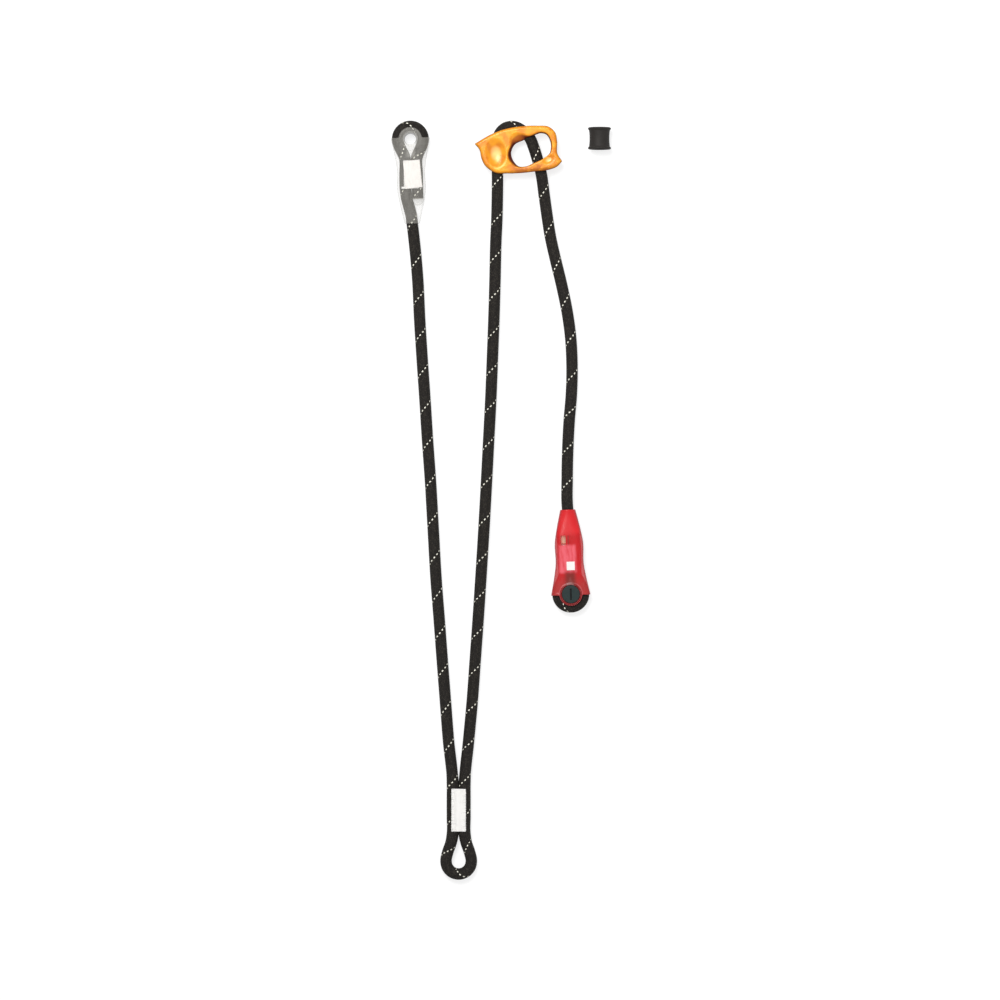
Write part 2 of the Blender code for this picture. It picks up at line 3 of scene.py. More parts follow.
import math
import random

import bpy
import numpy as np
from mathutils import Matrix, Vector


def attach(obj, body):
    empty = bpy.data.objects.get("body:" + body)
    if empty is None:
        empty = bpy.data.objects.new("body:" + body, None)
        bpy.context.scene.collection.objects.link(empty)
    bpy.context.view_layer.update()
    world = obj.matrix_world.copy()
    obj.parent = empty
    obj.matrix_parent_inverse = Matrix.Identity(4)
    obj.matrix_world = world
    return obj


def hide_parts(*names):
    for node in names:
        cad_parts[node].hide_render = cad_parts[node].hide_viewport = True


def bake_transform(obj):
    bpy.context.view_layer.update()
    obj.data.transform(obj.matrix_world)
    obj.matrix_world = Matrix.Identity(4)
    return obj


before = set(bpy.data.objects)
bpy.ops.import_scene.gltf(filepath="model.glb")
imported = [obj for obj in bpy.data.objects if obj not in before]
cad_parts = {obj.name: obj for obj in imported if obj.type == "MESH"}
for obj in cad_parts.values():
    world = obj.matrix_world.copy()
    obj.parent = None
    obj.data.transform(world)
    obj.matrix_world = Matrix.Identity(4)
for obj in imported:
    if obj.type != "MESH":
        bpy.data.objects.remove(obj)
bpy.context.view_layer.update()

# The photograph's frame: how much of the world it spans and the point that its middle pixel shows
VIEW_WIDTH = 0.870
VIEW_CENTRE = (-0.00065, 0.00022)
VIEW_HEIGHT = 0.005  # the scale is true at this height over the floor
LENS = 200.0
SENSOR = 36.0

# Rope
ROPE_DIAMETER = 0.0098
ROPE_RADIUS = ROPE_DIAMETER / 2
GAP = 0.0003
CHANNEL_RADIUS = ROPE_RADIUS + GAP
STRANDS = 24  # carriers of the sheath that wind each way
RELIEF = 0.00020  # from the valleys between the yarns to their crests
CREST_RADIUS = ROPE_RADIUS + 0.00017
BRAID_STEP = 1 / 3  # of a carrier's width, between two points of the sheath's mesh
CURVE_STEP = 0.0010
SETTLE_LENGTH = 0.040
LEAD_SETTLE = SETTLE_LENGTH - ROPE_DIAMETER
STRAND_OFFSET = ROPE_RADIUS + GAP
CORE_RADIUS = 0.0040
NECK_SPREAD = 0.05  # how much wider the strands lie where the sewing holds them flat
NECK_SPREAD_FADE = 0.010

# Places and turns of the pieces that hold the rope, as in the solids
HARNESS_AT = (-0.0366, -0.3141)
LOOP_BEND_RADIUS = 0.0110
NECK_START = 0.0240
NECK_LENGTH = 0.0680
NECK_STITCH = (0.0265, 0.0630)
FIXED_EYE_AT = (-0.0786, 0.3140)
FIXED_EYE_TURN = 181.28
STOPPER_AT = (0.0609, -0.0816)
STOPPER_TURN = 2.08
ADJUSTER_AT = (0.0076, 0.3125)
KEEPER_AT = (0.0858, 0.3145)

# Heights of the rope's centre line in them
HARNESS_HEIGHT = 0.0059
EYE_HEIGHT = 0.0076
TUNNEL_HEIGHT = 0.0082

# Sewn eyes and their covers
EYE_BORE_RADIUS = 0.0050
BUSH_WALL = 0.0009
EYE_BEND_RADIUS = EYE_BORE_RADIUS + BUSH_WALL + GAP + ROPE_RADIUS
EYE_WRAP = 22.0
LEG_START = 0.0165
LEG_END = 0.0430
DEAD_END = 0.0515
EYE_STITCH = (0.0190, 0.0430)
COVER_LENGTH = 0.0735
COVER_SIDE = (
    (0.0172, -0.0009), (0.0140, 0.0148), (0.0123, 0.0259),
    (0.0123, 0.0455), (0.0104, 0.0567), (0.0066, 0.0735),
)
COVER_LIP = COVER_SIDE[0][1]
COVER_FRONT = 0.0083
COVER_BACK = EYE_HEIGHT
MOUTH_RADIUS = COVER_SIDE[-1][0]
BEAD_HEIGHT = 0.0004
BEAD_AT = 0.0010  # from the lip
BEAD_WIDTH = 0.0011
BEAD_FADE = (0.0300, 0.0100)  # where the face's dip beside the bead ends, and up to where it is full
COVER_SQUARENESS = 4.2  # power of the section's rounded rectangle, which falls to 2 at the mouth
COVER_EDGE = 0.0006
FLANGE_RADIUS = 0.0100
POCKET = ((-0.0095, 0.0149, -0.0062), (0.0095, 0.0441, 0.0069))
PLUG_HEAD_RADIUS = 0.0078
PLUG_HEAD_THICKNESS = 0.0010
PLUG_SLOT = (0.0014, 0.0096, 0.0014)  # width, length and depth
PLUG_EDGE = 0.0004
PLUG_SHADE = 0.0003  # how far under its face the slot turns dark
LABEL_SIZE = (0.0144, 0.0240)
LABEL_HEIGHT = 0.0062
LABEL_CROWN = 0.0002
FIXED_LABEL_MIDDLE = (-0.0014, 0.0309)
FIXED_LABEL_LEAN = 4.5
STOPPER_LABEL_MIDDLE = (-0.0018, 0.0306)
TAPE_SIZE = (0.0044, 0.0086)
TAPE_MIDDLE = (-0.0050, 0.0470)
TAPE_THICKNESS = 0.00015
PATCH_SIZE = (0.0070, 0.0074)
PATCH_MIDDLE = (0.0007, 0.0246)
PATCH_DEPTH = 0.0002  # how far it is let into the cover's front
COVER_BOX = ((-0.0185, -0.0110, -0.0085), (0.0185, 0.0745, 0.0092))  # the mesh's own space
COVER_STEP = 0.00036  # between the mesh's points
PLUG_BOX = ((-0.0085, -0.0085, -0.0082), (0.0085, 0.0085, 0.0090))
PLUG_STEP = 0.00022

# Sewing
THREAD_RADIUS = 0.00031
SEAM_PITCH = 0.00056
SEAM_HALF_WIDTH = 0.0065
SEAM_OVERRUN = 0.0020  # of the fixed eye's last rows, past the label
OVERRUN_ROWS = 3

# Adjuster, in its own frame
ADJUSTER_FOOT = -0.0285
ADJUSTER_TOP = 0.0178
BAR_SHADE_BELOW = (-0.0190, -0.0225)  # painted shade, darker on the lower bar, sets in here going down,
BAR_SHADE_RIGHT = (-0.0010, 0.0060)  # and here, going right
HIGHLIGHT_SHARE = 0.62  # of a thumb rest's radii, where a painted highlight lies pale in its hollow
BLOCK_TOP = 0.0156
LEAD_END = -0.0684
RING_EDGE = 0.0024
BLOCK_EDGE = 0.0016
BLOCK_FILLET = 0.0016
TUNNEL_EDGE = 0.0006
HOLE_CENTRE = (0.0185, -0.0075)
HOLE_EDGE = 0.0014
HOLE_DRAFT = 0.0006
LEFT_SLOPE = (0.0032, 203.0)  # how far the hole's wall leans out at the top, and in which direction
BROAD_SLOPE = (0.0068, 138.0)
SLOPE_FAN = 26.0  # degrees to either side of that direction
HOLE_REACH = (0.0192, 0.0150)
HOLE_TURN = 22.0
THUMB_RESTS = (  # middle, radii, lean, depth, and how far over the face the middle of the ball is
    ((-0.0117, -0.0116), (0.0086, 0.0122), 9.0, 0.0023, 0.0040),
    ((0.0338, -0.0168), (0.0052, 0.0036), 29.0, 0.0010, 0.0020),
)
THUMB_EDGE = 0.0006
ADJUSTER_BOX = ((-0.0315, -0.0300, -0.0008), (0.0470, 0.0140, 0.0186))
ADJUSTER_STEP = 0.00036
BIGHT_ROUTE = (
    (-0.0110, -0.0684), (-0.0106, -0.0500), (-0.0104, -0.0287), (-0.0104, -0.0148), (-0.0104, -0.0009),
    (-0.0095, 0.0039), (-0.0069, 0.0085), (-0.0030, 0.0114), (0.0013, 0.0124), (0.0061, 0.0117),
    (0.0109, 0.0091), (0.0152, 0.0057), (0.0183, 0.0013), (0.0209, -0.0052), (0.0242, -0.0157),
    (0.0271, -0.0264), (0.0303, -0.0480), (0.0332, -0.0684),
)
RING_OUTLINE = (
    (-0.0302, -0.0030), (-0.0151, 0.0056), (-0.0049, 0.0095), (0.0090, 0.0120), (0.0235, 0.0127),
    (0.0345, 0.0116), (0.0398, 0.0066), (0.0413, -0.0005), (0.0418, -0.0120), (0.0457, -0.0180),
    (0.0415, -0.0224), (0.0330, -0.0256), (0.0210, -0.0270), (0.0100, -0.0282), (-0.0013, -0.0285),
    (-0.0125, -0.0280), (-0.0170, -0.0255), (-0.0217, -0.0211), (-0.0244, -0.0155), (-0.0262, -0.0078),
)
RING_CORNERS = (0, 9)
HOLE_OUTLINE = (
    (0.0018, -0.0105), (0.0046, -0.0036), (0.0120, 0.0002), (0.0209, 0.0042), (0.0271, 0.0064),
    (0.0318, 0.0053), (0.0351, 0.0002), (0.0359, -0.0061), (0.0349, -0.0106), (0.0298, -0.0150),
    (0.0209, -0.0194), (0.0137, -0.0223), (0.0082, -0.0221), (0.0040, -0.0178),
)
BLOCK_OUTLINE = (
    (-0.0238, -0.0085), (-0.0195, -0.0010), (-0.0130, 0.0035), (-0.0040, 0.0074), (0.0060, 0.0096),
    (0.0088, 0.0060), (0.0075, 0.0006), (0.0034, -0.0028), (0.0004, -0.0105), (0.0024, -0.0182),
    (0.0052, -0.0232), (0.0048, -0.0268), (-0.0013, -0.0273), (-0.0120, -0.0268), (-0.0160, -0.0246),
    (-0.0207, -0.0203), (-0.0230, -0.0150),
)
OUTLINE_STEP = 0.0010
TUNNEL_STEP = 0.0015

# Keeper
KEEPER_HALF_LENGTH = 0.00955
KEEPER_RIM_RADIUS = 0.0100
KEEPER_SHOULDER_RADIUS = 0.0091
KEEPER_WAIST_RADIUS = 0.0086
KEEPER_BORE_RADIUS = 0.0068
KEEPER_BEAD_RADIUS = 0.0011

# Free stretches of rope, in the world
FIXED_ARM_ROUTE = (
    (-0.0455, -0.2086), (-0.0482, -0.1738), (-0.0509, -0.1390), (-0.0535, -0.1042), (-0.0562, -0.0694),
    (-0.0587, -0.0259), (-0.0612, 0.0176), (-0.0637, 0.0524), (-0.0659, 0.0872), (-0.0683, 0.1220),
    (-0.0705, 0.1568), (-0.0722, 0.1916), (-0.0744, 0.2177),
)
ADJUSTABLE_ARM_ROUTE = (
    (-0.0279, -0.2086), (-0.0247, -0.1738), (-0.0222, -0.1390), (-0.0197, -0.1042), (-0.0174, -0.0694),
    (-0.0147, -0.0259), (-0.0123, 0.0176), (-0.0105, 0.0524), (-0.0087, 0.0872), (-0.0073, 0.1220),
    (-0.0060, 0.1568), (-0.0050, 0.1916), (-0.0042, 0.2264),
)
TAIL_ROUTE = (
    (0.0429, 0.2308), (0.0475, 0.2100), (0.0530, 0.1872), (0.0575, 0.1655), (0.0606, 0.1437),
    (0.0620, 0.1176), (0.0614, 0.0915), (0.0596, 0.0698), (0.0583, 0.0437), (0.0578, 0.0200),
)

# Where the pale tracer yarn crosses the top of the rope: its turn round the rope, and the place
TRACER_CROSSINGS = (
    (-4, (-0.0775, 0.3251)), (-1, (-0.0774, 0.2412)), (0, (-0.0735, 0.2079)), (2, (-0.0697, 0.1442)),
    (5, (-0.0635, 0.0496)), (9, (-0.0552, -0.0828)), (13, (-0.0450, -0.2136)), (15, (-0.0415, -0.2765)),
    (16, (-0.0463, -0.3051)), (17, (-0.0354, -0.3248)), (18, (-0.0280, -0.2999)), (19, (-0.0314, -0.2743)),
    (21, (-0.0283, -0.2127)), (25, (-0.0183, -0.0832)), (29, (-0.0107, 0.0499)), (32, (-0.0064, 0.1457)),
    (36, (-0.0028, 0.2779)), (38, (0.0137, 0.3243)), (39, (0.0305, 0.3007)), (41, (0.0419, 0.2368)),
    (43, (0.0562, 0.1727)), (45, (0.0620, 0.1078)), (48, (0.0578, 0.0139)), (52, (0.0542, -0.0905)),
)
TRACER_PITCH = 0.0322


def smooth_step(share):
    """0 up to share 0, 1 from share 1, with no kink between."""
    share = np.clip(share, 0.0, 1.0)
    return share * share * (3.0 - 2.0 * share)


def on_circle(radius, degrees, middle=(0.0, 0.0)):
    """The point of a circle that lies in this direction from its middle."""
    angle = math.radians(degrees)
    return middle[0] + radius * math.cos(angle), middle[1] + radius * math.sin(angle)


def seen_from(x, y, at, turn):
    """A place in the frame of a turned piece, for arrays and for a material's numbers."""
    cosine, sine = on_circle(1.0, turn)
    x, y = x - at[0], y - at[1]
    return x * cosine + y * sine, y * cosine - x * sine


def stand(points, at, height, turn=0.0):
    """Points of a piece's own frame as world points."""
    cosine, sine = on_circle(1.0, turn)
    x, y, z = np.asarray(points, float).T
    return np.column_stack((at[0] + x * cosine - y * sine, at[1] + x * sine + y * cosine, height + z))


def stand_flat(points, at, turn=0.0):
    """Points of a piece's own frame as world points, all in the plane."""
    return [(x, y) for x, y, _ in stand([(x, y, 0.0) for x, y in points], at, 0.0, turn)]


def smooth_curve(points, step):
    """Points a step apart on the smooth curve that the solids follow, and each given point's index."""
    knots = np.array(points, float)
    spans = np.linalg.norm(np.diff(knots, axis=0), axis=1)
    runs = np.diff(knots, axis=0) / spans[:, None]
    slopes = np.vstack((runs[:1], np.zeros_like(runs[1:]), runs[-1:]))
    both = (spans[:-1] + spans[1:])[:, None]
    slopes[1:-1] = (runs[:-1] * spans[1:, None] + runs[1:] * spans[:-1, None]) / both
    pieces, marks, total = [], [0], 0
    for k, span in enumerate(spans):
        count = max(2, int(math.ceil(span / step)))
        t = (np.arange(count) / count)[:, None]
        pieces.append(
            knots[k] * (2 * t**3 - 3 * t**2 + 1)
            + slopes[k] * span * (t**3 - 2 * t**2 + t)
            + knots[k + 1] * (3 * t**2 - 2 * t**3)
            + slopes[k + 1] * span * (t**3 - t**2)
        )
        total += count
        marks.append(total)
    return np.vstack(pieces + [knots[-1:]]), marks


def closed_curve(points, corners=()):
    """A closed outline through the points, smooth but for the corners."""
    if not corners:
        lap = 2
        curve, marks = smooth_curve(points[-lap:] + points + points[: lap + 1], OUTLINE_STEP)
        return curve[marks[lap] : marks[lap + len(points)]]
    runs = []
    for start, end in zip(corners, corners[1:] + (corners[0] + len(points),)):
        run = [points[k % len(points)] for k in range(start, end + 1)]
        runs.append(smooth_curve(run, OUTLINE_STEP)[0][:-1])
    return np.vstack(runs)


def loop_points():
    """The harness loop in its own frame, from the top of the neck's left strand to that of its right."""
    arc = [on_circle(LOOP_BEND_RADIUS, 180 + 22.5 * k) for k in range(9)]
    right = []
    for share in (0.35, 0.68, 1.0):
        draw_in = (LOOP_BEND_RADIUS - STRAND_OFFSET) * float(smooth_step(share))
        right.append((LOOP_BEND_RADIUS - draw_in, share * NECK_START))
    straight = (NECK_LENGTH - NECK_START) / 3
    right += [(STRAND_OFFSET, NECK_START + straight * k) for k in (1, 2, 3)]
    return [(-x, y) for x, y in reversed(right)] + arc + right


def eye_points(past_dead_end=0.0, past_mouth=0.0):
    """An eye in its own frame, from the cut end, round the bush, to the cover's mouth."""
    first, whole, steps = 180 - EYE_WRAP, 180 + 2 * EYE_WRAP, 12
    arc = [on_circle(EYE_BEND_RADIUS, first + whole * k / steps) for k in range(steps + 1)]
    middle = (LEG_START + LEG_END) / 2
    dead_leg = [(-STRAND_OFFSET, y) for y in (DEAD_END + past_dead_end, LEG_END, middle, LEG_START)]
    running_leg = [(STRAND_OFFSET, y) for y in (LEG_START, middle)]
    for share in (0.0, 0.25, 0.5, 0.75, 1.0):
        y = LEG_END + (COVER_LENGTH - LEG_END) * share
        running_leg.append((STRAND_OFFSET * (1 - float(smooth_step(share))), y))
    if past_mouth:
        running_leg.append((0.0, COVER_LENGTH + past_mouth))
    return dead_leg + arc + running_leg


class Rope:
    """The lanyard's one rope, from the fixed eye's cut end to the stopper's, with its braid."""

    def __init__(self):
        """Lays the centre line through the solids' routes and winds the braid to the tracer's crossings."""
        sections = [
            stand_flat(eye_points(), FIXED_EYE_AT, FIXED_EYE_TURN),
            FIXED_ARM_ROUTE[::-1],
            stand_flat(loop_points(), HARNESS_AT),
            ADJUSTABLE_ARM_ROUTE,
            stand_flat(BIGHT_ROUTE, ADJUSTER_AT),
            TAIL_ROUTE,
            stand_flat(eye_points(), STOPPER_AT, STOPPER_TURN)[::-1],
        ]
        plane, marks = smooth_curve([point for section in sections for point in section], CURVE_STEP)
        ends = np.cumsum([len(section) for section in sections])
        spans = np.r_[0, np.cumsum(np.linalg.norm(np.diff(plane, axis=0), axis=1))]
        self.cuts = {
            "dead_end": 0.0,
            "fixed_mouth": spans[marks[ends[0] - 1]],
            "neck_left": spans[marks[ends[1]]],
            "neck_right": spans[marks[ends[2] - 1]],
            "lead_in": spans[marks[ends[3]]],
            "lead_out": spans[marks[ends[4] - 1]],
            "stopper_mouth": spans[marks[ends[5]]],
            "stopper_dead_end": spans[-1],
        }
        foot_in = self.cuts["lead_in"] + ADJUSTER_FOOT - LEAD_END
        foot_out = self.cuts["lead_out"] - (ADJUSTER_FOOT - LEAD_END)
        levels = [(0.0, EYE_HEIGHT)]
        levels += self.settle("fixed_mouth", EYE_HEIGHT, 1)
        levels += self.settle("neck_left", HARNESS_HEIGHT, -1)
        levels += self.settle("neck_right", HARNESS_HEIGHT, 1)
        levels += [(foot_in - LEAD_SETTLE, ROPE_RADIUS), (foot_in, TUNNEL_HEIGHT)]
        levels += [(foot_out, TUNNEL_HEIGHT), (foot_out + LEAD_SETTLE, ROPE_RADIUS)]
        levels += self.settle("stopper_mouth", EYE_HEIGHT, -1)
        levels.append((spans[-1], EYE_HEIGHT))
        heights = np.full(len(spans), ROPE_RADIUS)
        for (start, low), (end, high) in zip(levels, levels[1:]):
            inside = (spans >= start) & (spans <= end)
            heights[inside] = low + (high - low) * smooth_step((spans[inside] - start) / (end - start))
        self.spans = spans
        self.line = np.column_stack((plane, heights))
        turns, places = zip(*TRACER_CROSSINGS)
        crossings = [spans[np.argmin(np.linalg.norm(plane - np.array(place), axis=1))] for place in places]
        first = turns[0] - crossings[0] / TRACER_PITCH
        last = turns[-1] + (spans[-1] - crossings[-1]) / TRACER_PITCH
        self.turn_spans = np.r_[0.0, crossings, spans[-1]]
        self.turns = np.r_[first, turns, last]

    def settle(self, cut, height, way):
        """Two levels of a rope that comes down from a held end to the floor, in the order of the line."""
        start = self.cuts[cut] + way * ROPE_RADIUS
        return [(start, height), (start + way * SETTLE_LENGTH, ROPE_RADIUS)][::way]

    def at(self, spans):
        """Centre points at these lengths along the rope."""
        return np.column_stack([np.interp(spans, self.spans, self.line[:, axis]) for axis in range(3)])

    def frames(self, spans):
        """Centre points with the way up and the way to the side at each."""
        reach = 0.0008
        along = self.at(spans + reach) - self.at(spans - reach)
        along /= np.linalg.norm(along, axis=1)[:, None]
        up = np.array([0.0, 0.0, 1.0]) - along * along[:, 2:3]
        up /= np.linalg.norm(up, axis=1)[:, None]
        return self.at(spans), up, np.cross(along, up)

    def spread(self, spans):
        """How much wider than round the rope lies at these lengths."""
        into_neck = np.minimum(spans - self.cuts["neck_left"], self.cuts["neck_right"] - spans)
        rise = smooth_step(into_neck / NECK_SPREAD_FADE + 1)
        fall = smooth_step((into_neck - NECK_LENGTH + NECK_START) / NECK_SPREAD_FADE)
        return 1 + NECK_SPREAD * rise * (1 - fall)

    def rows(self, start, end):
        """Braid rows between two lengths, in carrier widths along the rope and in metres."""
        low, high = np.interp((start, end), self.turn_spans, self.turns) * STRANDS
        rows = np.arange(math.ceil(low / BRAID_STEP), math.floor(high / BRAID_STEP) + 1) * BRAID_STEP
        least = 0.4 * BRAID_STEP
        rows = np.r_[low, rows[(rows > low + least) & (rows < high - least)], high]
        return rows, np.interp(rows / STRANDS, self.turns, self.turn_spans)


def braid_height(across, along):
    """0 in the valleys to 1 on the crests of a sheath whose yarns go over two and under two."""
    right, left = across - along, across + along
    right_yarn, left_yarn = np.round(right), np.round(left)
    phase = np.mod(right_yarn + left_yarn, 4)
    right_over = phase < 2
    width = np.where(right_over, right - right_yarn, left - left_yarn)
    length = np.where(right_over, left - left_yarn + phase, right - right_yarn + phase - 2)
    arch = np.sin(np.pi * np.clip((length + 0.5) / 2, 0, 1))
    return np.cos(np.pi * np.clip(width, -0.5, 0.5)) ** 0.7 * np.clip(arch, 0, 1) ** 0.55


def path_distance(x, y, route):
    """Distance in the plane from points to the line through a route."""
    nearest = np.inf
    for (x0, y0), (x1, y1) in zip(route, route[1:]):
        dx, dy = x1 - x0, y1 - y0
        share = np.clip(((x - x0) * dx + (y - y0) * dy) / (dx * dx + dy * dy), 0.0, 1.0)
        nearest = np.minimum(nearest, np.hypot(x - x0 - share * dx, y - y0 - share * dy))
    return nearest


def outline_distance(x, y, outline):
    """Distance in the plane from points to a closed outline, negative inside it."""
    closed = list(outline) + [outline[0]]
    inside = np.zeros(np.broadcast(x, y).shape, bool)
    for (x0, y0), (x1, y1) in zip(closed, closed[1:]):
        if y0 != y1:
            inside ^= ((y0 > y) != (y1 > y)) & (x < (x1 - x0) * (y - y0) / (y1 - y0) + x0)
    distance = path_distance(x, y, closed)
    return np.where(inside, -distance, distance)


def smooth_min(a, b, reach):
    """The smaller of two fields, with a fillet where they are about equal: the union of two solids."""
    share = np.clip(0.5 + 0.5 * (b - a) / reach, 0.0, 1.0)
    return b * (1 - share) + a * share - reach * share * (1 - share)


def smooth_max(a, b, reach):
    """The larger of two fields, with a rounded edge: what two solids share."""
    return -smooth_min(-a, -b, reach)


def slab(plan, z, low, high, edge):
    """A field for an outline's plate between two heights, with rounded edges."""
    inward = plan + edge
    upward = np.abs(z - (low + high) / 2) - (high - low) / 2 + edge
    outside = np.hypot(np.maximum(inward, 0.0), np.maximum(upward, 0.0))
    return np.minimum(np.maximum(inward, upward), 0.0) + outside - edge


def block_distance(x, y, z, low, high, edge):
    """A field for a box with rounded edges."""
    reach = [
        np.abs(value - (start + end) / 2) - (end - start) / 2 + edge
        for value, start, end in zip((x, y, z), low, high)
    ]
    outside = np.sqrt(sum(np.maximum(r, 0.0) ** 2 for r in reach))
    return np.minimum(np.maximum(np.maximum(reach[0], reach[1]), reach[2]), 0.0) + outside - edge


def settle_on(field, points, step):
    """Points moved onto the field's own surface, by one step down its slope."""
    reach = step / 10
    value = field(*points.T)
    slope = np.column_stack([(field(*(points + reach * axis).T) - value) / reach for axis in np.eye(3)])
    move = slope * (value / np.maximum((slope**2).sum(axis=1), 0.05))[:, None]
    far = np.linalg.norm(move, axis=1)[:, None]
    return points - move * np.minimum(1.0, 0.4 * step / np.maximum(far, 1e-9))


def field_mesh(field, low, high, step):
    """Points and faces of the surface where a field of three coordinates is 0; it is negative inside."""
    axes = [np.arange(start, end + step, step) for start, end in zip(low, high)]
    shape = tuple(len(axis) for axis in axes)
    grid = [axis.reshape([-1 if k == n else 1 for k in range(3)]) for n, axis in enumerate(axes)]
    values = np.broadcast_to(field(*grid), shape).astype(float)
    inside = values < 0
    cells = tuple(size - 1 for size in shape)
    total, count = np.zeros(cells + (3,)), np.zeros(cells)
    crossings = []
    for n in range(3):
        first = tuple(slice(0, -1) if k == n else slice(None) for k in range(3))
        second = tuple(slice(1, None) if k == n else slice(None) for k in range(3))
        cross = inside[first] != inside[second]
        place = np.argwhere(cross)
        one, two = values[first][cross], values[second][cross]
        point = place.astype(float)
        point[:, n] += one / (one - two)
        around = []
        for shift in ((1, 1), (0, 1), (0, 0), (1, 0)):
            cell = place.copy()
            cell[:, [(n + 1) % 3, (n + 2) % 3]] -= shift
            around.append(tuple(cell.T))
            np.add.at(total, around[-1], point)
            np.add.at(count, around[-1], 1)
        crossings.append((around, inside[first][cross]))
    used = count > 0
    number = np.full(cells, -1)
    number[used] = np.arange(used.sum())
    points = total[used] / count[used][:, None] * step + np.array(low)
    faces = []
    for around, starts_inside in crossings:
        quads = np.column_stack([number[cell] for cell in around])
        faces.append(np.where(starts_inside[:, None], quads, quads[:, ::-1]))
    return settle_on(field, points, step), np.vstack(faces)


def grid_faces(numbers):
    """The faces between the points of a grid of point numbers."""
    corners = numbers[:-1, :-1], numbers[:-1, 1:], numbers[1:, 1:], numbers[1:, :-1]
    return np.stack(corners, axis=-1).reshape(-1, 4)


def turned(profile, sides, closed=False):
    """Points and faces of a profile of (radius, height) turned about Z; a radius of 0 gives one point."""
    points, rings = [], []
    for radius, height in profile:
        if radius == 0.0:
            points.append((0.0, 0.0, height))
            rings.append([len(points) - 1] * sides)
            continue
        rings.append([len(points) + k for k in range(sides)])
        points += [(*on_circle(radius, 360 * k / sides), height) for k in range(sides)]
    faces = []
    pairs = list(zip(rings, rings[1:])) + ([(rings[-1], rings[0])] if closed else [])
    for below, above in pairs:
        for k in range(sides):
            after = (k + 1) % sides
            faces.append(tuple(dict.fromkeys((below[k], below[after], above[after], above[k]))))
    return np.array(points), faces


def new_object(name, data, material=None):
    """An object of the scene that shows this data."""
    thing = bpy.data.objects.new(name, data)
    bpy.context.scene.collection.objects.link(thing)
    if material:
        data.materials.append(material)
    return thing


def mesh_object(name, points, faces, material, uvs=None, smooth=True):
    """A mesh from points and faces; uvs holds one pair for each corner."""
    mesh = bpy.data.meshes.new(name)
    faces = faces.tolist() if isinstance(faces, np.ndarray) else faces
    mesh.from_pydata(np.asarray(points, float).tolist(), [], faces)
    if uvs is not None:
        layer = mesh.uv_layers.new(name="UVMap")
        layer.data.foreach_set("uv", np.asarray(uvs, np.float32).ravel())
    if smooth:
        mesh.shade_smooth()
    return new_object(name, mesh, material)


def field_object(name, field, box, step, place, material):
    """The surface of a field in a piece's own frame, put in the piece's place."""
    points, faces = field_mesh(field, *box, step)
    return mesh_object(name, stand(points, *place), faces, material)


def dress(piece, body, slot, *nodes):
    """Lets a piece ride on a body, in the place of these nodes."""
    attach(piece, body)
    if nodes:
        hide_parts(*nodes)


def arithmetic(operation):
    """A method of Number that works with one Math node."""
    return lambda number, *others: number.nodes.math(operation, number, *others)


class Number:
    """A number that a material's nodes work out, for plain arithmetic."""

    def __init__(self, nodes, socket):
        """Stands for this output of these nodes."""
        self.nodes, self.socket = nodes, socket

    __add__ = arithmetic("ADD")
    __sub__ = arithmetic("SUBTRACT")
    __mul__ = arithmetic("MULTIPLY")
    __truediv__ = arithmetic("DIVIDE")
    __pow__ = arithmetic("POWER")
    __mod__ = arithmetic("FLOORED_MODULO")
    __lt__ = arithmetic("LESS_THAN")
    __abs__ = arithmetic("ABSOLUTE")


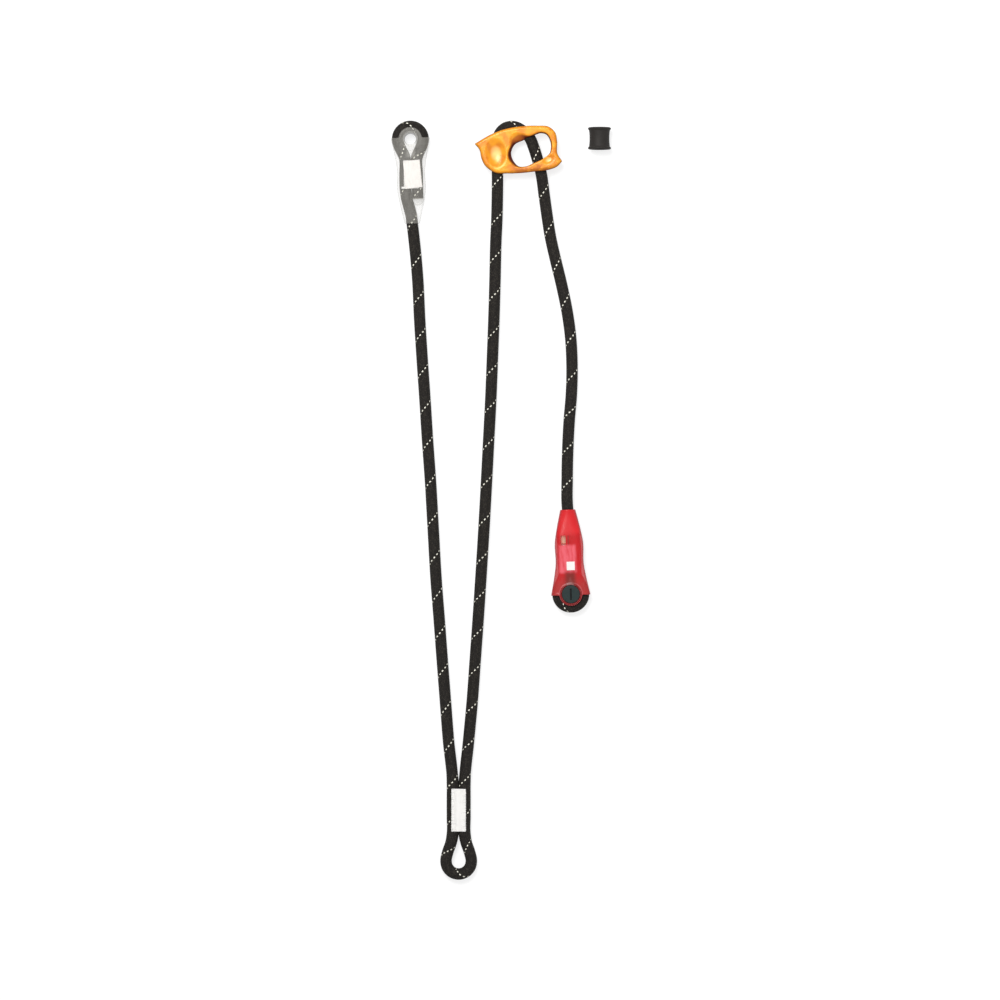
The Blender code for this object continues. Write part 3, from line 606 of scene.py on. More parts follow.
class Nodes:
    """Short calls for the nodes of a material or a world."""

    def __init__(self, owner, shader):
        """Works on the owner's own tree and on its shader of this name."""
        owner.use_nodes = True
        self.owner, self.tree = owner, owner.node_tree
        self.shader = self.tree.nodes[shader]

    def set(self, socket, value):
        """Puts a node's result, a number or a colour into an input."""
        if isinstance(value, Number):
            value = value.socket
        if isinstance(value, bpy.types.NodeSocket):
            self.tree.links.new(value, socket)
        elif isinstance(value, tuple) and socket.type == "RGBA":
            socket.default_value = (*value, 1.0)
        else:
            socket.default_value = value

    def put(self, name, value):
        """Puts a value into the shader's input of this name."""
        self.set(self.shader.inputs[name], value)

    def add(self, kind, *inputs, **settings):
        """A node of this kind with its settings and its first inputs."""
        node = self.tree.nodes.new(kind)
        for name, value in settings.items():
            setattr(node, name, value)
        for socket, value in zip(node.inputs, inputs):
            self.set(socket, value)
        return node

    def math(self, operation, *inputs):
        """The result of one Math node."""
        return Number(self, self.add("ShaderNodeMath", *inputs, operation=operation).outputs[0])

    def most(self, first, *others):
        """The largest of some numbers."""
        for other in others:
            first = self.math("MAXIMUM", first, other)
        return first

    def mix(self, share, low, high):
        """A number between two others."""
        node = self.add("ShaderNodeMix", share)
        self.set(node.inputs[2], low)
        self.set(node.inputs[3], high)
        return Number(self, node.outputs[0])

    def tint(self, colour, *layers):
        """A colour with others laid over it, each given as its share and the colour."""
        for share, layer in layers:
            node = self.add("ShaderNodeMix", share, data_type="RGBA")
            self.set(node.inputs[6], colour)
            self.set(node.inputs[7], layer)
            colour = node.outputs[2]
        return colour

    def step(self, value, low, high):
        """A number eased from 0 to 1 while a value goes from low to high, which may be the smaller one."""
        node = self.add("ShaderNodeMapRange", value, low, high, interpolation_type="SMOOTHSTEP")
        return Number(self, node.outputs[0])

    def band(self, value, middle, half, soft):
        """1 where a number is within half of middle, eased to 0 on either side."""
        return self.step(abs(value - middle), half + soft, half - soft)

    def join(self, x, y, z):
        """Three numbers as one vector."""
        return self.add("ShaderNodeCombineXYZ", x, y, z).outputs[0]

    def split(self, vector):
        """A vector's three numbers."""
        return [Number(self, part) for part in self.add("ShaderNodeSeparateXYZ", vector).outputs[:3]]

    def place(self):
        """The point's place in the piece's own coordinates, which are the world's at rest."""
        return self.add("ShaderNodeTexCoord").outputs["Object"]

    def noise(self, scale, detail, vector=None):
        """Noise from 0 to 1, by the point's place unless another vector is given."""
        node = self.add("ShaderNodeTexNoise", self.place() if vector is None else vector)
        node.inputs["Scale"].default_value = scale
        node.inputs["Detail"].default_value = detail
        return Number(self, node.outputs["Fac"])

    def bump(self, height, depth):
        """Small relief of this depth in metres on the shader's normal."""
        node = self.add("ShaderNodeBump")
        node.inputs["Strength"].default_value = 1.0
        node.inputs["Distance"].default_value = depth
        self.set(node.inputs["Height"], height)
        self.put("Normal", node.outputs[0])


def new_finish(name, colour, roughness, metallic=0.0):
    """The nodes of a new Principled material."""
    nodes = Nodes(bpy.data.materials.new(name), "Principled BSDF")
    for socket, value in (("Base Color", colour), ("Roughness", roughness), ("Metallic", metallic)):
        nodes.put(socket, value)
    return nodes


def sheath_material():
    """Black braided sheath with one pale tracer yarn, from the braid's own coordinates, with painted shade
    in the braid's valleys and where the tracer dips under, and painted highlights on random crossings.
    """
    nodes = new_finish("sheath", (0.015, 0.012, 0.011), 0.75)
    across, along, _ = nodes.split(nodes.add("ShaderNodeUVMap").outputs[0])
    right, left = across - along, across + along
    right_yarn, left_yarn = nodes.math("FLOOR", right + 0.5), nodes.math("FLOOR", left + 0.5)
    off_left = left - left_yarn
    phase = (right_yarn + left_yarn) % 4.0
    right_over = phase < 1.5
    tracer = right_over * ((right_yarn + 0.5) % float(STRANDS) < 1.0)
    width = nodes.mix(right_over, off_left, right - right_yarn)
    length = nodes.mix(right_over, right, left)
    yarn = nodes.mix(right_over, left_yarn + 300.0, right_yarn)
    filaments = nodes.noise(1.6, 3.0, nodes.join(width * 7.0, length, yarn))
    crest = nodes.math("COSINE", width * math.pi)
    crossing = nodes.add("ShaderNodeTexWhiteNoise", nodes.join(right_yarn, left_yarn, 0.0)).outputs["Value"]
    # Painted highlights: some yarn crossings, picked at random, lighter on their crests
    crossing_glints = nodes.math("POWER", crossing, 3.0) * nodes.most(crest, 0.0)
    # Painted shade: darkest in the valleys between the yarns, lighter on their crests
    dark = nodes.tint((0.0015, 0.0013, 0.0011), (crest, (0.0145, 0.0122, 0.0108)))
    pale = nodes.tint((0.80, 0.78, 0.62), (filaments, (1.0, 0.99, 0.90)))
    # The tracer's pale colour fades at both ends of each float: painted shade where the yarn dips under
    shown = tracer * nodes.band(off_left + phase, 0.5, 0.80, 0.16)
    nodes.put("Base Color", nodes.tint(dark, (crossing_glints, (0.044, 0.038, 0.030)), (shown, pale)))
    nodes.bump(filaments * 0.45 + crest * 0.35, 0.00016)
    nodes.put("Sheen Weight", 0.02)
    nodes.put("Sheen Roughness", 0.5)
    nodes.put("Specular IOR Level", 0.16)
    return nodes.owner


def core_material():
    """The rope's cut end: pale core yarns, melted together."""
    nodes = new_finish("rope_core", (0.55, 0.53, 0.48), 0.55)
    grain = nodes.noise(1800.0, 3.0)
    nodes.put("Base Color", nodes.tint((0.30, 0.28, 0.25), (grain, (0.72, 0.70, 0.65))))
    nodes.bump(grain, 0.0002)
    return nodes.owner


def thread_material():
    """White polyester sewing thread with its twist."""
    nodes = new_finish("white_thread", (0.86, 0.85, 0.82), 0.62)
    x, y, _ = nodes.split(nodes.place())
    soil = nodes.noise(260.0, 3.0)
    nodes.put("Base Color", nodes.tint((0.925, 0.905, 0.875), (soil, (0.995, 0.988, 0.975))))
    nodes.bump(nodes.math("SINE", x * 9000.0 + y * 5000.0), 0.00004)
    nodes.put("Sheen Weight", 0.2)
    return nodes.owner


def label_material(name, low, high):
    """Blank tape of close plain weave."""
    nodes = new_finish(name, high, 0.6)
    x, y, _ = nodes.split(nodes.place())
    nodes.put("Base Color", nodes.tint(low, (nodes.noise(160.0, 4.0), high)))
    nodes.bump(nodes.math("SINE", x * 21000.0) * nodes.math("SINE", y * 17000.0), 0.000012)
    return nodes.owner


def cover_finish(name, low, high, roughness, at, turn):
    """Moulded elastomer: its nodes, its plain colour, and the point's place in the cover's own frame."""
    nodes = new_finish(name, high, roughness)
    tone = nodes.noise(90.0, 3.0)
    nodes.bump(nodes.noise(2400.0, 2.0) + tone * 2.0, 0.00003)
    nodes.put("Specular IOR Level", 0.25)
    across, along = seen_from(*nodes.split(nodes.place())[:2], at, turn)
    radius = nodes.math("SQRT", across**2.0 + along**2.0)
    return nodes, nodes.tint(low, (tone, high)), across, along, radius


def side_wall(nodes):
    """1 where a cover's surface stands upright, to 0 where it lies flat."""
    facing = nodes.split(nodes.add("ShaderNodeNewGeometry").outputs["Normal"])[2]
    return nodes.step(abs(facing), 0.80, 0.30)


def clear_material():
    """Clear elastomer, faintly smoky, milkier where it is thick: at the bush and between the strands."""
    colours = (0.70, 0.67, 0.60), (0.82, 0.80, 0.75)
    place = FIXED_EYE_AT, FIXED_EYE_TURN
    nodes, plain, across, along, radius = cover_finish("clear_elastomer", *colours, 0.28, *place)
    bush = EYE_BEND_RADIUS - ROPE_RADIUS
    bush_wall = nodes.step(radius, bush + 0.0006, bush - 0.0001)
    smoky = bush_wall * nodes.step(along, 0.0046, 0.0016)
    near_web = nodes.band(along, 0.0062, 0.0016, 0.0010) * 0.75
    web = nodes.most(nodes.band(along, 0.0105, 0.0050, 0.0018) * 0.40, near_web)
    between = nodes.band(across, 0.0, 0.0035, 0.0015)
    thick = nodes.most(side_wall(nodes) * 0.4, between * web, bush_wall * 0.5)
    flange = nodes.step(radius, FLANGE_RADIUS + 0.0003, FLANGE_RADIUS - 0.0004)
    streaks = nodes.noise(150.0, 3.0, nodes.join(across * 5.0, along, 0.0))
    thin = nodes.mix(flange, 0.110, 0.150) * nodes.mix(streaks, 0.60, 1.36)
    nodes.put("Alpha", nodes.mix(smoky, nodes.mix(thick, thin, 0.42), 0.62))
    nodes.put("Base Color", nodes.tint(plain, (smoky, (0.30, 0.29, 0.27))))
    return nodes.owner


def red_material():
    """Red elastomer: full red towards the mouth, brighter over the label as painted light, dark red between
    the strands, with a painted highlight on the flange's rim and painted shade where the strands meet.
    """
    colours = (0.62, 0.014, 0.018), (0.77, 0.024, 0.030)
    place = STOPPER_AT, STOPPER_TURN
    nodes, plain, across, along, radius = cover_finish("red_elastomer", *colours, 0.30, *place)
    front = nodes.step(nodes.split(nodes.place())[2], EYE_HEIGHT + 0.002, EYE_HEIGHT + 0.004)

    def patch(size, middle, soft):
        """1 over a piece that shines through the cover's front."""
        over = front * nodes.band(across, middle[0], size[0] / 2, soft)
        return over * nodes.band(along, middle[1], size[1] / 2, soft)

    full = nodes.step(along, DEAD_END - 0.003, DEAD_END + 0.004)
    upright = side_wall(nodes)
    web = patch((0.0092, 0.0120), (0.0, 0.0132), 0.0024)
    # Painted shade: a dark line in the crease where the two strands meet towards the dead end
    seam = patch((0.0012, 0.0080), (-0.0006, 0.0470), 0.0008)
    label = patch(LABEL_SIZE, STOPPER_LABEL_MIDDLE, 0.0018)
    tape = patch(TAPE_SIZE, TAPE_MIDDLE, 0.0006)
    ring = nodes.step(radius, FLANGE_RADIUS, FLANGE_RADIUS - 0.0008)
    # Painted highlight: a pale pink line round the flange's rim, on the front
    rim = nodes.band(radius, FLANGE_RADIUS + 0.0001, 0.0002, 0.0004)
    # Dark red over the web between the strands, and painted shade in the strands' crease
    dark = nodes.most(web * 0.85, seam * 0.7)
    thin = nodes.mix(ring, nodes.mix(tape, nodes.mix(label, 0.66, 0.78), 0.20), 0.50)
    nodes.put("Alpha", nodes.mix(nodes.most(full, upright, dark), thin, 0.93))
    # Painted light: the cover is painted brighter pink over the white label below it, most in streaks
    streaks = nodes.noise(85.0, 2.0, nodes.join(across * 4.0, along, 0.0))
    painted_label_light = label * nodes.step(streaks, 0.30, 0.62)
    layers = (
        (nodes.mix(painted_label_light, label * 0.35, 1.0), (0.92, 0.15, 0.19)),
        (nodes.step(along, 0.0190, 0.0060) * 0.6, (0.44, 0.060, 0.055)),
        (ring * 0.7, (0.30, 0.030, 0.030)),
        (upright, (0.50, 0.014, 0.026)),
        (rim * front, (0.78, 0.17, 0.19)),
        (dark, (0.15, 0.022, 0.016)),
    )
    nodes.put("Base Color", nodes.tint(plain, *layers))
    return nodes.owner


def anodised_material():
    """Satin orange anodised aluminium, with painted golden highlights on its crests and pale ones in its
    thumb rests, and painted red-brown shade on its walls and lower bar, deepest in the walls of its hole.
    """
    nodes = new_finish("orange_anodised", (0.86, 0.38, 0.022), 0.36, 0.12)
    x, y, height = nodes.split(nodes.place())
    geometry = nodes.add("ShaderNodeNewGeometry").outputs
    facing = abs(nodes.split(geometry["Normal"])[2])

    def ellipse(middle, radii, turn):
        """The square of a point's distance from an ellipse's middle, in radii."""
        u, v = seen_from(x, y, (ADJUSTER_AT[0] + middle[0], ADJUSTER_AT[1] + middle[1]), turn)
        return (u / radii[0]) ** 2.0 + (v / radii[1]) ** 2.0

    inner = nodes.step(ellipse(HOLE_CENTRE, HOLE_REACH, HOLE_TURN), 1.30, 1.05)
    painted_highlight = []
    # Painted highlight: a pale patch in the middle of each thumb rest
    for middle, radii, lean, *_ in THUMB_RESTS:
        highlight_radii = [HIGHLIGHT_SHARE * radius for radius in radii]
        painted_highlight.append(nodes.step(ellipse(middle, highlight_radii, lean), 1.15, 0.10))
    painted_highlight = nodes.most(*painted_highlight) * nodes.step(height, BLOCK_TOP / 2, BLOCK_TOP)
    # Painted shade: darker colours on upright walls and on the sloped faces round the hole, deepest in the
    # hole's walls
    wall = nodes.step(facing, 0.80, 0.25)
    slope = nodes.step(facing, 0.97, 0.80) * nodes.step(height, 0.0177, 0.0160)
    deep = nodes.step(facing, 0.80, 0.40) * nodes.step(height, 0.0172, 0.0140)
    mottle = nodes.noise(130.0, 3.0)
    # Painted shade on the lower bar, patchy with the mottle
    bar_shade = nodes.step(y - ADJUSTER_AT[1], *BAR_SHADE_BELOW) * nodes.step(x - ADJUSTER_AT[0], *BAR_SHADE_RIGHT)
    layers = (
        (nodes.step(mottle, 0.36, 0.62), (0.84, 0.325, 0.012)),
        (painted_highlight * 0.75, (0.97, 0.57, 0.20)),
        (bar_shade * nodes.mix(nodes.step(mottle, 0.42, 0.56), 1.0, 0.45), (0.46, 0.125, 0.008)),
        # Painted highlight along convex edges and painted shade in hollows and creases, from the mesh's
        # pointiness
        (nodes.step(geometry["Pointiness"], 0.505, 0.56) * 0.7, (0.98, 0.56, 0.07)),
        (nodes.step(geometry["Pointiness"], 0.495, 0.45) * 0.8, (0.44, 0.095, 0.008)),
        # Painted shade on walls, on the hole's slopes and in its deep walls
        (wall * 0.75, (0.34, 0.080, 0.010)),
        (slope * inner * 0.8, (0.56, 0.135, 0.020)),
        (deep * inner, (0.13, 0.016, 0.006)),
    )
    nodes.put("Base Color", nodes.tint((0.68, 0.205, 0.008), *layers))
    grain = nodes.noise(3600.0, 2.0)
    nodes.put("Roughness", nodes.mix(wall, nodes.mix(grain, 0.26, 0.40), 0.95))
    nodes.put("Coat Weight", nodes.mix(nodes.step(facing, 0.92, 0.55), 0.30, 0.0))
    nodes.put("Coat Roughness", 0.24)
    nodes.put("Specular IOR Level", 0.15)
    nodes.bump(grain + mottle * 6.0, 0.00008)
    return nodes.owner


def rubber_material(name, low, high, roughness, slot_height=-1.0):
    """Satin rubber with a faint mould grain, darker below the height where a slot starts."""
    nodes = new_finish(name, high, roughness)
    shade = nodes.step(nodes.split(nodes.place())[2], slot_height, slot_height - 0.0005)
    tone = nodes.noise(240.0, 4.0)
    nodes.put("Base Color", nodes.tint(low, (tone, high), (shade, (0.003, 0.003, 0.003))))
    nodes.bump(nodes.noise(3000.0, 2.0), 0.00005)
    nodes.put("Specular IOR Level", 0.2)
    return nodes.owner


def sheath(name, rope, start, end, material):
    """The braided sheath between two lengths of the rope, closed at both ends."""
    rows, spans = rope.rows(start, end)
    sides = round(STRANDS / BRAID_STEP)
    columns = np.arange(sides) * BRAID_STEP
    centres, up, side = rope.frames(spans)
    reach = CREST_RADIUS - RELIEF * (1 - braid_height(columns[None, :], rows[:, None]))
    angle = 2 * np.pi * columns / STRANDS
    side = side * rope.spread(spans)[:, None]
    ring = up[:, None, :] * np.cos(angle)[None, :, None] + side[:, None, :] * np.sin(angle)[None, :, None]
    points = centres[:, None, :] + ring * reach[:, :, None]
    corner = np.arange(len(rows) * sides).reshape(len(rows), sides)
    faces = grid_faces(np.column_stack((corner, corner[:, 0]))).tolist()
    u, v = np.meshgrid(np.r_[columns, columns[-1] + BRAID_STEP], rows)
    uvs = np.column_stack((u.ravel(), v.ravel()))[grid_faces(np.arange(u.size).reshape(u.shape)).ravel()]
    caps = [corner[0, ::-1].tolist(), corner[-1].tolist()]
    cap_uvs = np.column_stack((np.r_[columns[::-1], columns], np.repeat(rows[[0, -1]], sides)))
    return mesh_object(name, points.reshape(-1, 3), faces + caps, material, np.vstack((uvs, cap_uvs)))


def cut_end(name, place, material):
    """The sealed end of the rope's core, just proud of the cut sheath."""
    rise = 0.0007
    profile = [(0.0, 0.0), (CORE_RADIUS + rise / 2, 0.0)]
    profile += [on_circle(rise, 90 * k / 4, (CORE_RADIUS - rise / 2, 0.0)) for k in range(5)]
    profile.append((0.0, rise))
    points, faces = turned(profile, 32)
    lying = [(x - STRAND_OFFSET, DEAD_END + z, -y) for x, y, z in points]
    return mesh_object(name, stand(lying, *place), faces, material)


def sewing(name, span, place, material, overrun=0.0):
    """Close rows of thread over both strands, front and back, each row's ends drawn into the rope."""
    draw = random.Random(7)
    curve = bpy.data.curves.new(name, "CURVE")
    curve.dimensions = "3D"
    curve.bevel_depth = THREAD_RADIUS
    curve.bevel_resolution = 1
    curve.use_fill_caps = True
    rows = round((span[1] - span[0]) / SEAM_PITCH)
    samples = 14
    bridge = 0.80 * ROPE_RADIUS
    for face in (1, -1):
        for row in range(rows + 1):
            y = span[0] + (span[1] - span[0]) * row / rows
            lean = SEAM_PITCH * draw.uniform(-0.25, 0.25)
            reach = SEAM_HALF_WIDTH + draw.uniform(-0.0002, 0.0001)
            further = overrun if row > rows - OVERRUN_ROWS else 0.0
            line = []
            for k in range(samples + 1):
                x = (2 * reach + further) * k / samples - reach
                off = abs(abs(x) - STRAND_OFFSET)
                crest = math.sqrt(max(ROPE_RADIUS**2 - off**2, 0.0))
                proud = -0.9 if k in (0, samples) else 0.7
                line.append((x, y + lean * x / reach, face * (max(crest, bridge) + proud * THREAD_RADIUS)))
            spline = curve.splines.new("POLY")
            spline.points.add(samples)
            for point, spot in zip(spline.points, stand(line, *place)):
                point.co = (*spot, 1.0)
    return new_object(name, curve, material)


def strip(name, size, middle, lean, heights, crown, place, material):
    """A thin blank strip between two heights, turned by lean and bowed over what lies below it."""
    rows, columns = 24, 16
    j, i = np.indices((rows + 1, columns + 1)).reshape(2, -1)
    u, v = 2 * i / columns - 1, 2 * j / rows - 1
    x, y, bow = u * size[0] / 2, v * size[1] / 2, crown * (1 - u * u)
    points = np.vstack([np.column_stack((x, y, level + bow)) for level in reversed(heights)])
    corner = np.arange(len(u)).reshape(rows + 1, columns + 1)
    front = grid_faces(corner)
    rim = np.r_[corner[0], corner[1:, -1], corner[-1, -2::-1], corner[-2:0:-1, 0]]
    after = np.roll(rim, -1)
    side = np.column_stack((rim, len(u) + rim, len(u) + after, after))
    faces = np.vstack((front, len(u) + front[:, ::-1], side))
    points = stand(stand(points, middle, 0.0, lean), *place)
    solid = mesh_object(name, points, faces, material)
    solid.data.set_sharp_from_angle(angle=math.radians(50))
    return solid


def cover_field(plugged):
    """The moulded cover in its eye's frame: shell, flanges, bush, rope's channel and label's pocket."""
    side = smooth_curve(COVER_SIDE, CURVE_STEP / 2)[0]
    channel_route = smooth_curve(eye_points(4 * GAP, ROPE_DIAMETER), CURVE_STEP)[0]

    def field(x, y, z):
        """Negative inside the cover."""
        half_width = np.interp(y, side[:, 1], side[:, 0])
        draw_in = smooth_step((y - LEG_END) / (COVER_LENGTH - LEG_END))
        bead = BEAD_HEIGHT * (np.exp(-(((y - COVER_LIP - BEAD_AT) / BEAD_WIDTH) ** 2)) - 1.0)
        near_lip = smooth_step((BEAD_FADE[0] - y) / (BEAD_FADE[0] - BEAD_FADE[1]))
        tall = np.where(z > 0, COVER_FRONT, COVER_BACK) + bead * near_lip
        half_height = tall + (MOUTH_RADIUS - tall) * draw_in
        power = COVER_SQUARENESS - (COVER_SQUARENESS - 2.0) * draw_in
        section = (np.abs(x / half_width) ** power + np.abs(z / half_height) ** power) ** (1 / power)
        shell = (section - 1) * np.minimum(half_width, half_height)
        shell = smooth_max(shell, COVER_LIP - y, COVER_EDGE)
        shell = smooth_max(shell, y - COVER_LENGTH, COVER_EDGE)
        flange = slab(np.hypot(x, y) - FLANGE_RADIUS, z, -COVER_BACK, COVER_FRONT, 2 * COVER_EDGE)
        solid = smooth_min(shell, flange, COVER_EDGE)
        solid = np.maximum(solid, np.maximum(z - COVER_FRONT, -COVER_BACK - z))
        channel = np.hypot(path_distance(x, y, channel_route), z) - CHANNEL_RADIUS
        pocket = block_distance(x, y, z, *POCKET, COVER_EDGE)
        solid = smooth_max(solid, -smooth_min(channel, pocket, COVER_EDGE), COVER_EDGE / 2)
        solid = smooth_max(solid, EYE_BORE_RADIUS - np.hypot(x, y), COVER_EDGE)
        if plugged:
            seat = PLUG_HEAD_RADIUS + GAP - np.hypot(x, y)
            front = COVER_FRONT - PLUG_HEAD_THICKNESS - GAP - z
            back = COVER_BACK - PLUG_HEAD_THICKNESS - GAP + z
            solid = np.maximum(solid, np.minimum(seat, -np.minimum(front, back)))
        return solid

    return field


def plug_field(x, y, z):
    """The stopper's rubber plug in the eye's frame: a shank and two heads, the front one slotted."""
    radius = np.hypot(x, y)
    half = (COVER_FRONT + COVER_BACK) / 2 - PLUG_EDGE
    shank = np.maximum(radius - (EYE_BORE_RADIUS - GAP), np.abs(z - (COVER_FRONT - COVER_BACK) / 2) - half)
    plan = radius - PLUG_HEAD_RADIUS
    front = slab(plan, z, COVER_FRONT - PLUG_HEAD_THICKNESS, COVER_FRONT, PLUG_EDGE)
    back = slab(plan, z, -COVER_BACK, -COVER_BACK + PLUG_HEAD_THICKNESS, PLUG_EDGE)
    solid = smooth_min(smooth_min(shank, front, PLUG_EDGE), back, PLUG_EDGE)
    width, length, depth = PLUG_SLOT
    slot_low = (-width / 2, -length / 2, COVER_FRONT - depth)
    slot_high = (width / 2, length / 2, COVER_FRONT + length)
    slot = block_distance(x, y, z, slot_low, slot_high, PLUG_EDGE / 2)
    return smooth_max(solid, -slot, PLUG_EDGE / 2)


def ball(x, y, z, at, radii, lean, depth, rise):
    """A field for the long ball that presses a thumb rest into the adjuster's front face."""
    height = rise + depth
    spread = 1 / math.sqrt(1 - (rise / height) ** 2)
    u, v = seen_from(x, y, at, lean)
    across, along = u / (radii[0] * spread), v / (radii[1] * spread)
    return (np.sqrt(across**2 + along**2 + ((z - ADJUSTER_TOP - rise) / height) ** 2) - 1) * height


def adjuster_field():
    """The forged adjuster in its own frame: ring, tunnel block, thumb rests and sloped hole."""
    ring_line = closed_curve(RING_OUTLINE, RING_CORNERS)
    hole_line = closed_curve(HOLE_OUTLINE)
    block_line = closed_curve(BLOCK_OUTLINE)
    tunnel_line = smooth_curve(BIGHT_ROUTE, TUNNEL_STEP)[0]

    def field(x, y, z):
        """Negative inside the forging."""
        direction = np.degrees(np.arctan2(y - HOLE_CENTRE[1], x - HOLE_CENTRE[0])) % 360
        left, broad = (
            reach * np.exp(-(((direction - middle) / SLOPE_FAN) ** 2))
            for reach, middle in (LEFT_SLOPE, BROAD_SLOPE)
        )
        # Both slopes open upwards; the broad one starts higher and is hollow
        rise = np.clip((z - TUNNEL_HEIGHT) / (ADJUSTER_TOP - TUNNEL_HEIGHT), 0.0, 1.1)
        opening = outline_distance(x, y, hole_line) - (HOLE_DRAFT + left) * rise
        opening = opening - broad * np.clip(rise * 1.35 - 0.35, 0.0, 1.1) ** 1.4
        plate = slab(outline_distance(x, y, ring_line), z, TUNNEL_HEIGHT, ADJUSTER_TOP, RING_EDGE)
        block = slab(outline_distance(x, y, block_line), z, 0.0, BLOCK_TOP, BLOCK_EDGE)
        solid = smooth_max(smooth_min(plate, block, BLOCK_FILLET), -opening, HOLE_EDGE)
        for rest in THUMB_RESTS:
            solid = smooth_max(solid, -ball(x, y, z, *rest), THUMB_EDGE)
        tunnel = np.hypot(path_distance(x, y, tunnel_line), z - TUNNEL_HEIGHT) - CHANNEL_RADIUS
        return smooth_max(solid, -tunnel, TUNNEL_EDGE)

    return field


def keeper_points():
    """The rubber sleeve lying along Y: a drawn-in barrel with a rolled bead at either rim."""
    bead_at = (KEEPER_RIM_RADIUS - KEEPER_BEAD_RADIUS, KEEPER_HALF_LENGTH - KEEPER_BEAD_RADIUS)
    bead = [on_circle(KEEPER_BEAD_RADIUS, 130 - 190 * k / 12, bead_at) for k in range(13)]
    barrel = []
    steps = 16
    top = bead_at[1] - 1.15 * KEEPER_BEAD_RADIUS
    for k in range(steps + 1):
        height = top * (1 - 2 * k / steps)
        swell = (KEEPER_SHOULDER_RADIUS - KEEPER_WAIST_RADIUS) * abs(height / top) ** 2.2
        barrel.append((KEEPER_WAIST_RADIUS + swell, height))
    bore = []
    for way in (-1, 1):
        ends = [(0.0004, KEEPER_HALF_LENGTH - 0.0001), (0.0, KEEPER_HALF_LENGTH - 0.0006)]
        bore += [(KEEPER_BORE_RADIUS + flare, way * height) for flare, height in ends[::-way]]
    outside = bead + barrel + [(radius, -height) for radius, height in reversed(bead)]
    points, faces = turned((outside + bore)[::-1], 96, closed=True)
    return points[:, [0, 2, 1]] * (1.0, 1.0, -1.0), faces


def make_camera():
    """Straight down on the middle of the photograph's frame."""
    camera = bpy.data.cameras.new("camera")
    camera.lens = LENS
    camera.sensor_width = SENSOR
    view = new_object("camera", camera)
    view.location = (*VIEW_CENTRE, VIEW_HEIGHT + VIEW_WIDTH * LENS / SENSOR)
    bpy.context.scene.camera = view
    bpy.context.scene.view_settings.view_transform = "Standard"


def area_light(name, place, size, energy):
    """A soft round lamp that faces the object."""
    lamp = bpy.data.lights.new(name, "AREA")
    lamp.shape = "DISK"
    lamp.size = size
    lamp.energy = energy
    light = new_object(name, lamp)
    light.location = place
    light.rotation_euler = (-Vector(place)).to_track_quat("-Z", "Y").to_euler()


def white_where_seen(nodes, others, white):
    """A strength that is white to the camera, mirrors and glass, and another to all other light."""
    rays = nodes.add("ShaderNodeLightPath").outputs
    seen = nodes.most(*(rays[f"Is {kind} Ray"] for kind in ("Camera", "Glossy", "Transmission")))
    return nodes.mix(seen, others, white)


def make_studio():
    """A pale floor, a white background and soft light from the upper left."""
    floor = new_finish("floor", (0.30, 0.30, 0.30), 0.9)
    floor.put("Emission Color", (1.0, 1.0, 1.0))
    floor.put("Emission Strength", white_where_seen(floor, 0.0, 0.76))
    half = 3.0
    corners = [(-half, -half, 0.0), (half, -half, 0.0), (half, half, 0.0), (-half, half, 0.0)]
    mesh_object("floor", corners, [(0, 1, 2, 3)], floor.owner, smooth=False)
    world = bpy.data.worlds.new("studio")
    bpy.context.scene.world = world
    sky = Nodes(world, "Background")
    sky.put("Color", (1.0, 1.0, 1.0))
    sky.put("Strength", white_where_seen(sky, 0.42, 1.0))
    area_light("key", (-0.35, 0.85, 1.80), 0.8, 32.0)
    area_light("fill", (1.3, -0.4, 1.2), 1.2, 3.4)


make_camera()
make_studio()
rope = Rope()
black_sheath = sheath_material()
core = core_material()
thread = thread_material()
blank = label_material("blank_label", (0.82, 0.785, 0.755), (0.90, 0.87, 0.845))
tan = label_material("tan_tape", (0.68, 0.46, 0.30), (0.82, 0.60, 0.42))

# Cords: the three free stretches, each from the piece that holds it to the next
for prefix, start, end, bodies in (
    ("fixed_arm", "neck_left", "fixed_mouth", ("harness", "fixed_arm")),
    ("adjustable_arm", "neck_right", "lead_in", ("harness", "rope_carriage")),
    ("tail", "lead_out", "stopper_mouth", ("rope_carriage", "stopper")),
):
    first, last = rope.cuts[start], rope.cuts[end]
    piece = sheath(prefix + "_sheath", rope, min(first, last), max(first, last), black_sheath)
    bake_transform(piece)
    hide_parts(prefix + "_rope")

# Rope that the other pieces hold
for prefix, start, end, body in (
    ("fixed_eye", "dead_end", "fixed_mouth", "fixed_arm"),
    ("harness_loop", "neck_left", "neck_right", "harness"),
    ("stopper_eye", "stopper_mouth", "stopper_dead_end", "stopper"),
):
    held = sheath(prefix + "_sheath", rope, rope.cuts[start], rope.cuts[end], black_sheath)
    dress(held, body, "rope", prefix + "_rope")
bight = sheath("adjuster_bight_sheath", rope, rope.cuts["lead_in"], rope.cuts["lead_out"], black_sheath)
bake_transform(bight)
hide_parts("adjuster_bight_rope")

# Harness sewing
neck_seam = sewing("harness_sewing", NECK_STITCH, (HARNESS_AT, HARNESS_HEIGHT), thread)
dress(neck_seam, "harness", "thread", "harness_stitching")

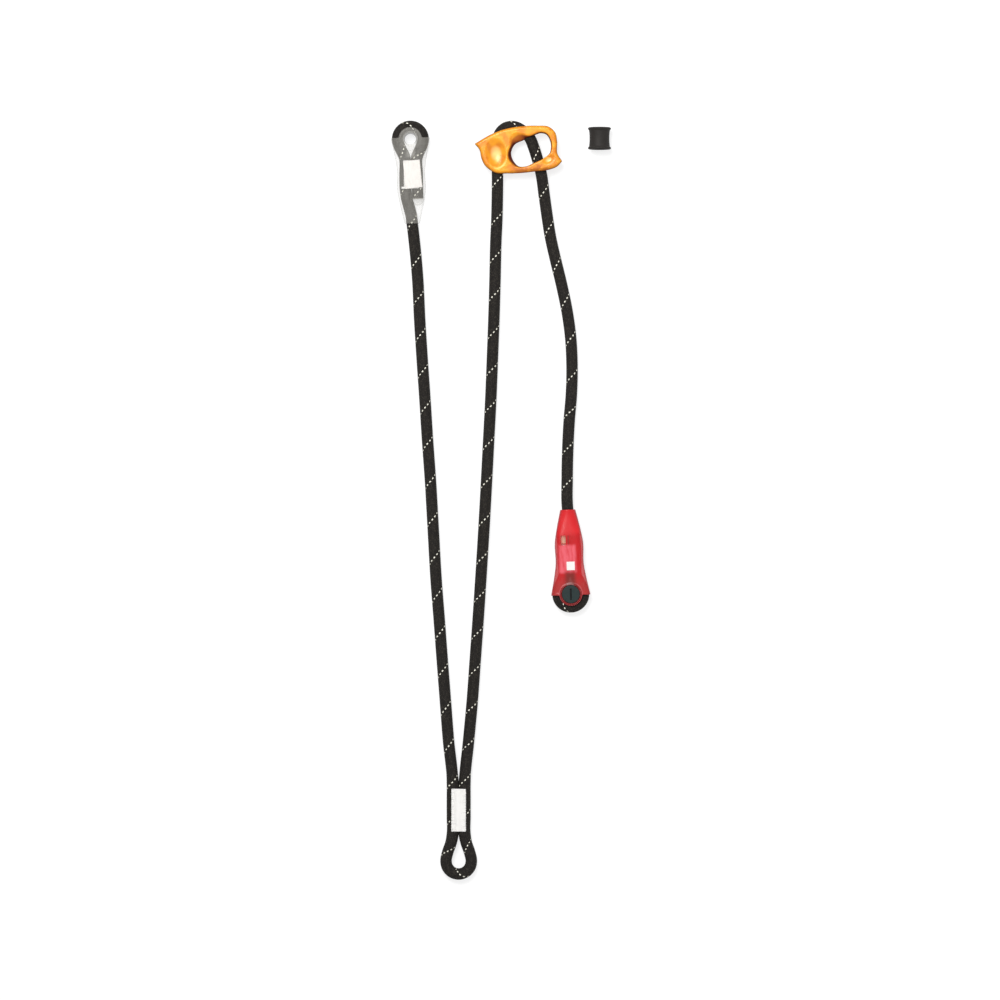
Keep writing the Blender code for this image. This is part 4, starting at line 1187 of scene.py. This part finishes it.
# Both sewn eyes, their labels and covers
fixed_place = (FIXED_EYE_AT, EYE_HEIGHT, FIXED_EYE_TURN)
stopper_place = (STOPPER_AT, EYE_HEIGHT, STOPPER_TURN)
for prefix, body, place, slot, skin, middle, lean, overrun in (
    (
        "fixed_eye", "fixed_arm", fixed_place, "clear_cover", clear_material(),
        FIXED_LABEL_MIDDLE, FIXED_LABEL_LEAN, SEAM_OVERRUN,
    ),
    ("stopper_eye", "stopper", stopper_place, "red_cover", red_material(), STOPPER_LABEL_MIDDLE, 0.0, 0.0),
):
    seam = sewing(prefix + "_sewing", EYE_STITCH, place, thread, overrun)
    dress(seam, body, "thread", prefix + "_stitching")
    dress(cut_end(prefix + "_cut_end", place, core), body, "rope")
    heights = (LABEL_HEIGHT, LABEL_HEIGHT + GAP)
    label = strip(prefix + "_blank_label", LABEL_SIZE, middle, lean, heights, LABEL_CROWN, place, blank)
    dress(label, body, "label", prefix + "_label")
    field = cover_field(slot == "red_cover")
    shell = field_object(prefix + "_moulded_cover", field, COVER_BOX, COVER_STEP, place, skin)
    dress(shell, body, slot, prefix + "_cover")
heights = (COVER_FRONT - PATCH_DEPTH, COVER_FRONT - PATCH_DEPTH + GAP)
patch = strip("stopper_blank_patch", PATCH_SIZE, PATCH_MIDDLE, 0.0, heights, 0.0, stopper_place, blank)
dress(patch, "stopper", "label")
tape_bow = CREST_RADIUS - math.sqrt(CREST_RADIUS**2 - TAPE_SIZE[0] ** 2 / 4)
heights = (CREST_RADIUS - tape_bow, CREST_RADIUS - tape_bow + TAPE_THICKNESS)
tape = strip("stopper_end_tape", TAPE_SIZE, TAPE_MIDDLE, 0.0, heights, tape_bow, stopper_place, tan)
dress(tape, "stopper", "label")
slot_height = EYE_HEIGHT + COVER_FRONT - PLUG_SHADE
rubber = rubber_material("plug_rubber", (0.006, 0.015, 0.015), (0.018, 0.032, 0.031), 0.45, slot_height)
plug = field_object("stopper_slotted_plug", plug_field, PLUG_BOX, PLUG_STEP, stopper_place, rubber)
dress(plug, "stopper", "plug_rubber", "stopper_eye_plug")

# Adjuster
skin = anodised_material()
place = (ADJUSTER_AT, 0.0)
forging = field_object("adjuster_forging", adjuster_field(), ADJUSTER_BOX, ADJUSTER_STEP, place, skin)
dress(forging, "adjuster", "anodised", "adjuster_body")

# Keeper
points, faces = keeper_points()
keeper_rubber = rubber_material("keeper_rubber", (0.013, 0.0117, 0.0105), (0.027, 0.0235, 0.021), 0.62)
sleeve = mesh_object("keeper_sleeve", stand(points, KEEPER_AT, KEEPER_RIM_RADIUS), faces, keeper_rubber)
dress(sleeve, "loose_keeper", "keeper_rubber", "keeper")
